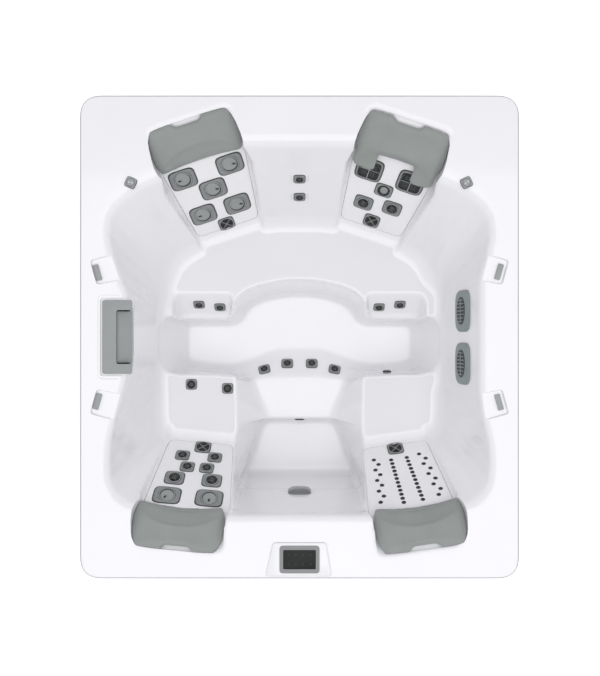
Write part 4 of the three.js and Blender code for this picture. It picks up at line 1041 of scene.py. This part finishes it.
def spinner_parts(radius, turn):
    """A flat rotor with a raised rim, a dark crescent beside it and a small nozzle."""
    face = face_body(radius, [(0, 6.6), (0.82, 6.6), (0.85, 7.6)])
    inner, outer = disc(radius * 0.77, radius * -0.04, radius * 0.08), disc(radius * 0.89)
    crescent = ringed([(5.7, inner), (5.8, outer), (7.6, outer), (7.7, inner)])
    reach = radius * 0.42
    nozzle = prism(shifted(squircle(17 * MM, 10 * MM, 24, 2.6), reach), 5.8 * MM, 7.2 * MM)
    lobe = loft([(z * MM, disc(r * MM, reach * 0.62, 3 * MM))
                 for z, r in [(5.8, 8), (6.8, 7.6), (7.1, 5)]])
    rotor = stood([(nozzle, "dark_plastic"), (lobe, "bezel_plastic")], about_z(turn))
    return [(face, "face_plastic"), (crescent, "bezel_edge")] + rotor


def window_parts(radius):
    """A sunk rotor with four vanes behind a thin pale cross."""
    rotor = turned(radius, [(0, 2.2), (0.9, 2.2), (1, 3), (1, 1.4), (0.75, 1.4)] + barrel, 44)
    parts = [(rotor, "dark_plastic")]
    for k in range(4):
        for row in (0.24, 0.5):
            vane = bevelled(box(radius * 0.52, radius * 0.17, 1.6 * MM,
                                (radius * 0.4, radius * row, 3.4 * MM)), 0.5 * MM)
            parts.append((moved(vane, about_z(90 * k)), "bezel_edge"))
    cross = bars(2, radius * 1.9, radius * 0.06, 4, 6.5)
    return parts + list(zip(cross, ("face_plastic", "pale_plastic")))


def directional_parts(radius):
    """An eyeball nozzle in a dark socket."""
    socket = face_body(radius, [(0, 2.8), (0.6, 3.4), (0.84, 6.8), (0.86, face_top)])
    ball = turned(radius, [(0, 8.2), (0.34, face_top), (0.6, 6.4), (0.7, 3.2), (0, 3.2)], 32)
    bar, = bars(1, radius * 0.8, radius * 0.09, face_top, face_top + 0.8, glint_turn)
    eye = [(ball, "face_plastic"), (bar, "bezel_plastic")]
    return [(socket, "dark_plastic")] + stood(eye, shift(radius * 0.03, radius * 0.14))


# %% [markdown]
# The table gives each jet's kind, the width of its bezel in mm, its height as a share of
# that and, for a rotor, how far its nozzle is turned. Its place isn't written here,
# because the frame's joints already hold the point about which each face turns.

# %% Panels with their jets
cross_size = 84 * MM
panel_jets = {
    "back_left": [("spinner", 134, 0.84, turn) for turn in (181, -4, -9, 178, -9)],
    "back_right": [("window", 136, 0.94)] * 2 + [("directional", 90, 0.84)]
                  + [("twin", 97, 0.86)] * 2,
    "front_left": [("single", 73, 0.92)] * 4 + [("twin", 100, 0.84)] * 2
                  + [("spinner", 136, 0.76, 67), ("spinner", 136, 0.76, 94)],
    "front_right": [],
}
cross_shares = {"back_left": (-0.01, 0.064), "back_right": (-0.035, 0.1),
                "front_left": (-0.062, 0.078), "front_right": (0.01, 0.066)}
face_makers = {"spinner": spinner_parts, "window": window_parts, "twin": twin_parts,
               "directional": directional_parts, "single": single_parts}


def jet_surround(kind, size, aspect, radius):
    """The bezel of one jet: round inside, or square with a sunk floor behind the cross."""
    if kind != "window":
        return bezel_parts(size, disc(radius + 1 * MM), aspect)
    window = squircle(size * 0.78, size * 0.74, power=7)
    hole, inside = disc(radius + 0.6 * MM), grown(window, -0.2 * MM)
    floor = ringed([(0.4, hole), (0.45, inside), (1.2, inside), (1.25, hole)])
    return bezel_parts(size, window, aspect) + [(floor, "dark_plastic")]


def jet_spot(bed, number):
    """Where a jet stands on its panel, from its joint."""
    point = Vector(joints[f"jet_face_{bed.key}_{number}_turn"]["pos_m"]) - bed.foot
    return point.dot(bed.across), point.dot(bed.along)


for key, bed in beds.items():
    parts, holes = [], []
    for i, (kind, width, aspect, *turn) in enumerate(panel_jets[key]):
        u, v = jet_spot(bed, i + 1)
        size = width * MM
        radius = size * 0.4 * aspect
        parts += stood(jet_surround(kind, size, aspect, radius), shift(u, v))
        holes.append((u, v, radius * 0.82))
        node = f"jet_face_{key}_{i + 1}"
        face = stood(face_makers[kind](radius, *turn), bed.matrix(u, v))
        piece(f"face_{key}_{i + 1}", face, node, [node])
    cross_u, cross_v = cross_shares[key]
    cross_spot = shift(cross_u * bed.top_half, cross_v * bed.height)
    parts += stood(cross_grille(cross_size), cross_spot)
    parts.append((panel_plate(bed, holes), "panel_acrylic"))
    piece(f"panel_{key}", stood(parts, bed.matrix()), f"jet_panel_{key}",
          [f"jet_panel_{key}"])
print("panels with", sum(len(jets) for jets in panel_jets.values()), "jets")

# %% [markdown]
# The fourth panel blows air through small holes: two straight columns and two zigzags.
# Each hole is a dark eyelet let into the plate, and loops place them.

# %% Air holes of the front right panel
eyelet_radius = 10.5 * MM
# Each row runs between two points of the panel, in mm, with a count and a swing sideways.
air_rows = [((38, 104), (29, 384), 12, 0), ((-43, 102), (-64, 382), 12, 0),
            ((115, 88), (128, 364), 9, 10), ((-120, 90), (-156, 366), 9, 11)]


def eyelet_parts():
    """A grey rim round a dark hole, a little wider than high."""
    rim = turned(eyelet_radius, [(0, 0.2), (0.7, 0.3), (0.78, 2.4), (0.9, 2), (1, 0.1),
                                 (0, 0.1)], 18)
    hole = turned(eyelet_radius, [(0, 0.9), (0.72, 0.9), (0.72, 0.3), (0, 0.3)], 18)
    return stood([(rim, "hub_plastic"), (hole, "dark_plastic")],
                 Matrix.Diagonal((1.1, 0.92, 1, 1)))


eyelets = []
for first, last, count, swing in air_rows:
    for k in range(count):
        spot = Vector(first).lerp(Vector(last), k / (count - 1)) * MM
        place = beds["front_right"].matrix(spot.x + swing * (-1) ** k * MM, spot.y)
        eyelets += stood(eyelet_parts(), place)
piece("air_holes", eyelets, "jet_panel_front_right")
print(sum(row[2] for row in air_rows), "air holes")

# %% [markdown]
# The pillows were shaped before the shell was cut, so here they only become pieces.

# %% Pillows
for key in seat_keys:
    pillow = piece(f"headrest_{key}", [(foam[key], "pillow_skin")], f"pillow_{key}",
                   [f"pillow_{key}"], sharp=180)
print(len(seat_keys), "pillows")

# %% [markdown]
# Jets in the shell itself are small. The same bezel and nozzle are set on the back wall,
# the foot ramps, the calf seats, the ridge and the two shoulders. On the moulded surface
# a ray from above finds the spot, which is simpler than working it out.

# %% Places of the shell's jets
foot_jet_spots = [(-0.531, 543 * MM), (-0.422, 557 * MM)]
calf_jets = placed([(-562, -224), (-374, -243)])
ridge_jets = placed([(-194, -163), (-68, -134), (68, -134), (194, -163)])
back_wall_depths = (201 * MM, 306 * MM)
shoulder_share = 0.637
ray_spread = 22 * MM
ray_start = rim_height + 100 * MM


def wall_place(index, depth):
    """A point on the basin's wall in the middle of one stretch of its outline."""
    following = (index + 1) % len(basin_top)

    def at(d):
        outline = basin_at(d)
        middle = outline[index].lerp(outline[following], 0.5)
        return Vector((middle.x, middle.y, level(d)))

    across = (basin_top[following] - basin_top[index]).to_3d()
    normal = across.cross(at(seat_depth) - at(wall_top_depth)).normalized()
    return standing(at(depth), normal if normal.z > 0 else -normal)


def on_shell(point):
    """Where a fitting stands on the shell: the middle of four points round it."""
    hits = []
    for dx, dy in ((1, 0), (0, 1), (-1, 0), (0, -1)):
        start = Vector((point.x + dx * ray_spread, point.y + dy * ray_spread, ray_start))
        hits.append(shell_surface.ray_cast(start, -UP)[0])
    normal = (hits[0] - hits[2]).cross(hits[1] - hits[3]).normalized()
    return standing(sum(hits, Vector()) / 4 + normal * 0.5 * MM, normal)


def ramp_places(sign):
    """Where the two jets of a foot ramp stand on its slope."""
    run = ramp_edge[0].y - ramp_floor[0].y
    normal = Vector((0, seat_depth - ramp_depth, run))
    places = []
    for x, depth in foot_jet_spots:
        part = (depth - seat_depth) / (ramp_depth - seat_depth)
        y = ramp_edge[0].y - run * part
        places.append(standing((-sign * x * half_width, y, level(depth)), normal))
    return places


def shoulder_place(share, lean_x):
    spot = (share * half_width, shoulder_share * half_length, rim_height)
    return [standing(spot, UP, (lean_x, 1, 0))]


wall_middle = len(basin_top) - 1
calf_places = [standing((p.x, p.y, level(seat_depth)), UP, (0, 1, 0)) for p in calf_jets]
shell_jets = {
    "foot_jets_left": (60, "twin", ramp_places(-1)),
    "foot_jets_right": (60, "single", ramp_places(1)),
    "calf_jets": (60, "dark", calf_places),
    "ridge_jets": (66, "single", [on_shell(p) for p in ridge_jets]),
    "back_wall_jets": (60, "single", [wall_place(wall_middle, d) for d in back_wall_depths]),
    "shoulder_jets_left": (53, "shoulder", shoulder_place(-0.766, 0.45)),
    "shoulder_jets_right": (53, "shoulder", shoulder_place(0.758, -0.45)),
}
print({node: len(places) for node, (size, kind, places) in shell_jets.items()})


# %% Shell jets
def shoulder_parts(radius):
    """A flat face with two bright ports."""
    parts = [(face_body(radius, [(0, 5.8), (0.8, 6.2)]), "face_plastic")]
    for side in (-1, 1):
        port = turned(radius, [(0, 8.2), (0.2, face_top), (0.28, 5.8), (0, 5.8)], 16)
        spot = shift(radius * 0.36 * side, radius * 0.1 * side)
        parts.append((moved(port, spot), "pale_plastic"))
    return parts


def dark_parts(radius):
    """A plain dark bowl with a low ring in it."""
    ring = turned(radius, [(0, 2.4), (0.3, 2.4), (0.4, 4.4), (0.5, 2.2), (0, 2.1)], 24)
    return [(face_body(radius, [(0, 2), (0.7, 2.4), (0.86, 6.8)]), "dark_plastic"),
            (ring, "bezel_edge")]


def recess_shade_lines():
    """Two pale lines beside each jet of the back wall: painted shade for the edges of a shallow
    recess.
    """
    return [(bevelled(box(2 * MM, 44 * MM, 1.2 * MM, (side * 42 * MM, 0, 0.4 * MM)), 0.3 * MM),
             "pale_plastic") for side in (-1, 1)]


small_makers = {"twin": twin_parts, "single": single_parts, "dark": dark_parts,
                "shoulder": shoulder_parts}
for node, (width, kind, places) in shell_jets.items():
    parts = []
    size = width * MM
    skin = "face_plastic" if kind == "shoulder" else "bezel_plastic"
    for matrix in places:
        jet = bezel_parts(size, disc(size * 0.37), skin=skin) + small_makers[kind](size * 0.36)
        # Beside each jet of the back wall, two lines of painted shade stand for a recess's
        # edges.
        if node == "back_wall_jets":
            jet += recess_shade_lines()
        parts += stood(jet, matrix)
    piece(f"{node}_set", parts, "tub", [node])
print(len(shell_jets), "groups of shell jets")

# %% [markdown]
# Two oval louvred grilles stand on the right wall, two round suction covers sit low in
# the footwells, and a light shines from the front wall. All have soft square flanges.

# %% Grilles, suction covers and light
grille_size = (205 * MM, 166 * MM)
light_size = 120 * MM
light_index = len(basin_top) // 2 - 1
light_depth = 418 * MM


def heading(lean, compass):
    """A direction from its rise and its turn about z, in degrees."""
    a, b = math.radians(lean), math.radians(compass)
    return Vector((math.cos(a) * math.cos(b), math.cos(a) * math.sin(b), math.sin(a)))


def node_matrix(node, direction):
    """Matrix on a fitting's own middle, raised to where its face lies."""
    low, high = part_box(node)
    middle = (low + high) / 2
    reach = max(v.co.dot(direction) for v in frame["nodes"][node].data.vertices)
    return standing(middle + direction * (reach - middle.dot(direction)), direction)


def grille_parts(length, height):
    """A flange with a dark oval bowl, upright slats and a spine."""
    flange = domed(length, height,
                   [(-13, 1), (-8, 0.995), (-4, 0.95), (-1.5, 0.82), (-1, 0.6)], power=4)
    bowl = domed(length * 0.66, height * 0.56, [(-4, 1), (0.5, 1), (1, 0.94), (-0.5, 0.9)],
                 48, 2.2)
    slats = [box(length * 0.6, height * 0.03, 3 * MM, (0, 0, 1.2 * MM))]
    for k in range(7):
        x = length * 0.085 * (k - 3)
        reach = height * 0.5 * math.sqrt(max(0.05, 1 - (x / (length * 0.32)) ** 2))
        slats.append(box(length * 0.022, reach, 3 * MM, (x, 0, 0.8 * MM)))
    return ([(flange, "grille_plastic"), (bowl, "dark_plastic")]
            + [(bevelled(slat, 0.8 * MM), "grille_plastic") for slat in slats])


for node in ("side_suction_back", "side_suction_front"):
    grille = stood(grille_parts(*grille_size), node_matrix(node, heading(10, 180)))
    piece(f"{node}_grille", grille, "tub", [node])
# Each cover's width and how far it stands out, in mm, and where it faces.
for name, width, proud, facing in [("ridge_suction", 56, 5, heading(4, -90)),
                                   ("footwell_suction", 46, -5, heading(6, 90))]:
    node = f"{name}_cover"
    cover = domed(width * MM, width * MM,
                  [(-10.5, 1), (-5, 0.99), (-3, 0.93), (-0.6, 0.72), (0, 0.4)], 48)
    place = node_matrix(node, facing) @ shift(z=proud * MM)
    piece(name, [(moved(cover, place), "bezel_edge")], "tub", [node])
lens = domed(light_size, light_size,
             [(0.3, 1), (6, 1), (7, 0.97), (14, 0.86), (19, 0.66), (21, 0.4)])
light_place = wall_place(light_index, light_depth)
piece("light_cover", [(moved(lens, light_place), "lens_plastic")], "tub",
      ["light_lens"])
print("two grilles, two covers and a light")

# %% [markdown]
# The filter lid is a flat frame, open towards the water, where the weir flap hangs. The
# spouts are slotted bars at the head of each chute. All of them are cut and then bevelled,
# because the light runs along such small rounded edges on the real parts.

# %% Filter lid, weir and spouts
lid_thickness = 12 * MM
lid_opening = 86 * MM
spout_turn = 16
flap_rest_turn = math.radians(-65)


def filter_lid_parts():
    """A flat frame with one long opening."""
    width, length = filter_high.x - filter_low.x, filter_high.y - filter_low.y
    outline = soft_rectangle(width, length, 10 * MM, 4)
    opening = shifted(soft_rectangle(lid_opening, length - 92 * MM, 9 * MM, 4),
                      width / 2 - 29 * MM)
    plate = without(prism(outline, 0, lid_thickness), [prism(opening, -overrun, overrun)])
    centre = shift((filter_low.x + filter_high.x) / 2, 0, filter_high.z - lid_thickness)
    return [(moved(bevelled(plate, 2.5 * MM, 3), centre), "trim_plastic")]


def spout_parts(node):
    """A bar across the head of a chute, with a slot towards the water."""
    low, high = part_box(node)
    sx, sy = math.copysign(1, low.x + high.x), math.copysign(1, low.y + high.y)
    middle = shift((low.x + high.x) / 2, (low.y + high.y) / 2, rim_height - chute_depth)
    bar = without(prism(soft_rectangle(24 * MM, 74 * MM, 2 * MM, 4), 0.3 * MM, 12 * MM),
                  [box(8 * MM, 62 * MM, 3 * MM, (-sx * 12 * MM, 0, 5 * MM))])
    outward = shift((-7 if sx > 0 else -5) * MM)
    place = middle @ about_z(-spout_turn * sx * sy) @ outward
    return [(moved(bevelled(bar, 0.8 * MM), place), "face_plastic")]


piece("filter_frame", filter_lid_parts(), "filter_lid", ["filter_lid"])
flap_hinge = Matrix.Translation(joints["weir_flap_swing"]["pos_m"])
flap_size = (8 * MM, weir_high.y - weir_low.y - 10 * MM, 72 * MM)
flap = bevelled(box(*flap_size, (0, 0, flap_size[2] / 2)), 2.5 * MM, 3)
flap_place = flap_hinge @ Matrix.Rotation(flap_rest_turn, 4, "Y")
piece("weir", [(moved(flap, flap_place), "trim_plastic")], "weir_flap",
      ["weir_flap"])
spouts = sorted(n for n in frame["nodes"] if n.startswith("waterfall_spout"))
for node in spouts:
    piece(node.replace("waterfall_", ""), spout_parts(node), "tub", [node])
print("lid, weir and", len(spouts), "spouts")

# %% [markdown]
# The control panel is a bezel round a black screen. Faint plain marks on the glass stand
# for its unlit symbols, with no lettering.

# %% Controls
mark_rows, mark_columns = 2, 4
mark_pitch = (34 * MM, 44 * MM)
bezel_low, bezel_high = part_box("control_bezel")
bezel_middle = (bezel_low + bezel_high) / 2 + Vector((0, 7 * MM, 0))
bezel_place = shift(bezel_middle.x, bezel_middle.y, bezel_low.z)
screen_low, screen_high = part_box("control_screen")
screen_width, screen_length = (screen_high - screen_low).xy
frame_top = (bezel_high.z - bezel_low.z) / MM
outer = soft_rectangle(*(bezel_high - bezel_low).xy, 16 * MM)
inner = soft_rectangle(screen_width + 1 * MM, screen_length + 1 * MM, 7 * MM)
bezel_ring = ringed([(0.3, inner), (0.3, outer), (frame_top * 0.7, outer),
                     (frame_top, grown(outer, -3 * MM)), (frame_top, grown(inner, 8 * MM)),
                     (frame_top * 0.75, grown(inner, 6 * MM)), (frame_top * 0.7, inner)])
piece("control_frame", [(moved(bezel_ring, bezel_place), "light_bezel")], "tub",
      ["control_bezel"])
screen_outline = soft_rectangle(screen_width, screen_length, 6 * MM)
glass = loft([(0, screen_outline), (3.4 * MM, screen_outline),
              (4 * MM, grown(screen_outline, -1.2 * MM))])
screen_parts = [(glass, "screen_glass")]
for row in range(mark_rows):
    for column in range(mark_columns):
        mark = turned(5 * MM, [(0, 4), (1, 4), (1, 4.25), (0, 4.25)], 20)
        x = (column - (mark_columns - 1) / 2) * mark_pitch[0]
        y = (row - (mark_rows - 1) / 2) * mark_pitch[1]
        screen_parts.append((moved(mark, shift(x, y)), "screen_mark"))
piece("control_glass", stood(screen_parts, bezel_place), "tub",
      ["control_screen"])
print("controls with", mark_rows * mark_columns, "marks")

# %% [markdown]
# Outside, grooved cladding hides a timber frame that stands on a moulded pan. These CAD
# pieces have their true shape already, so they only get their finishes.

# %% Finishes of the carried-over pieces
material_nodes = {
    "cladding": ["cabinet_front", "cabinet_back", "cabinet_left", "cabinet_right"],
    "black_plastic": ["base_pan", "pump_wet_end", "drain_cap"],
    "timber": ["support_frame"], "machine_grey": ["pump_motor"], "steel": ["heater_tube"],
    "trim_plastic": ["pump_impeller"], "box_grey": ["control_box"],
    "filter_cloth": ["filter_cartridge"],
}
for material, nodes in material_nodes.items():
    for node in nodes:
        data = frame["nodes"][node].data
        data.materials.clear()
        data.materials.append(bpy.data.materials[material])
finished = sum(material_nodes.values(), [])
shown = [n for n, o in frame["nodes"].items() if not o.hide_render]
print("nodes without a finish:", [n for n in shown if n not in finished])

# %% [markdown]
# The stage is a white floor, a broad soft lamp overhead and a pale world. The lamp keeps
# level surfaces bright and lets the steep walls fall a little darker. Floor and world
# look brighter to the camera than the light they give, so the background stays white.

# %% Stage
def for_the_eye(tree, plain, bright, target):
    """What the camera and mirrors see is bright; what lights the scene is plain."""
    path = tree.nodes.new("ShaderNodeLightPath")
    for ray in ("Is Camera Ray", "Is Glossy Ray", "Is Transmission Ray"):
        choice = tree.nodes.new("ShaderNodeMixShader")
        tree.links.new(path.outputs[ray], choice.inputs["Fac"])
        tree.links.new(plain, choice.inputs[1])
        tree.links.new(bright, choice.inputs[2])
        plain = choice.outputs["Shader"]
    tree.links.new(plain, tree.nodes[target].inputs["Surface"])


white = (1, 1, 1, 1)
floor_mesh = bmesh.new()
bmesh.ops.create_grid(floor_mesh, x_segments=1, y_segments=1, size=12)
stage_floor = linked("stage_floor", mesh_data("stage_floor", floor_mesh))
floor_material = bpy.data.materials.new("stage_white")
floor_material.use_nodes = True
tree = floor_material.node_tree
ground = set_inputs(tree.nodes["Principled BSDF"], Base_Color=(0.85, 0.85, 0.85, 1),
                    Roughness=0.9)
glow = shader_node(tree, "ShaderNodeEmission", Color=white, Strength=0.5)
bright = tree.nodes.new("ShaderNodeAddShader")
tree.links.new(ground.outputs["BSDF"], bright.inputs[0])
tree.links.new(glow.outputs["Emission"], bright.inputs[1])
for_the_eye(tree, ground.outputs["BSDF"], bright.outputs["Shader"], "Material Output")
stage_floor.data.materials.append(floor_material)
print("stage floor")

# %% Light and camera
world = bpy.data.worlds.new("studio")
bpy.context.scene.world = world
world.use_nodes = True
tree = world.node_tree
sky = set_inputs(tree.nodes["Background"], Color=(0.965, 0.96, 1, 1), Strength=0.68)
seen = shader_node(tree, "ShaderNodeBackground", Color=white, Strength=1.0)
for_the_eye(tree, sky.outputs["Background"], seen.outputs["Background"], "World Output")

lamp = bpy.data.lights.new("overhead", "AREA")
lamp.shape, lamp.size, lamp.energy = "SQUARE", 7.5, 205
lamp_object = linked("overhead", lamp)
lamp_object.location = (0.2, -1.3, 7.4)
lamp_object.rotation_euler = (math.radians(10), math.radians(2), 0)

camera_above_rim = 3.3
photo_height = 676
camera = linked("camera", bpy.data.cameras.new("camera"))
camera.data.lens = 38.1
camera.data.shift_x, camera.data.shift_y = 0.5 / photo_height, -1 / photo_height
camera.location = (0, 0, rim_height + camera_above_rim)
bpy.context.scene.camera = camera
bpy.context.scene.view_settings.view_transform = "Standard"
print("camera at", round(camera.location.z, 3))

# %% The end
import json
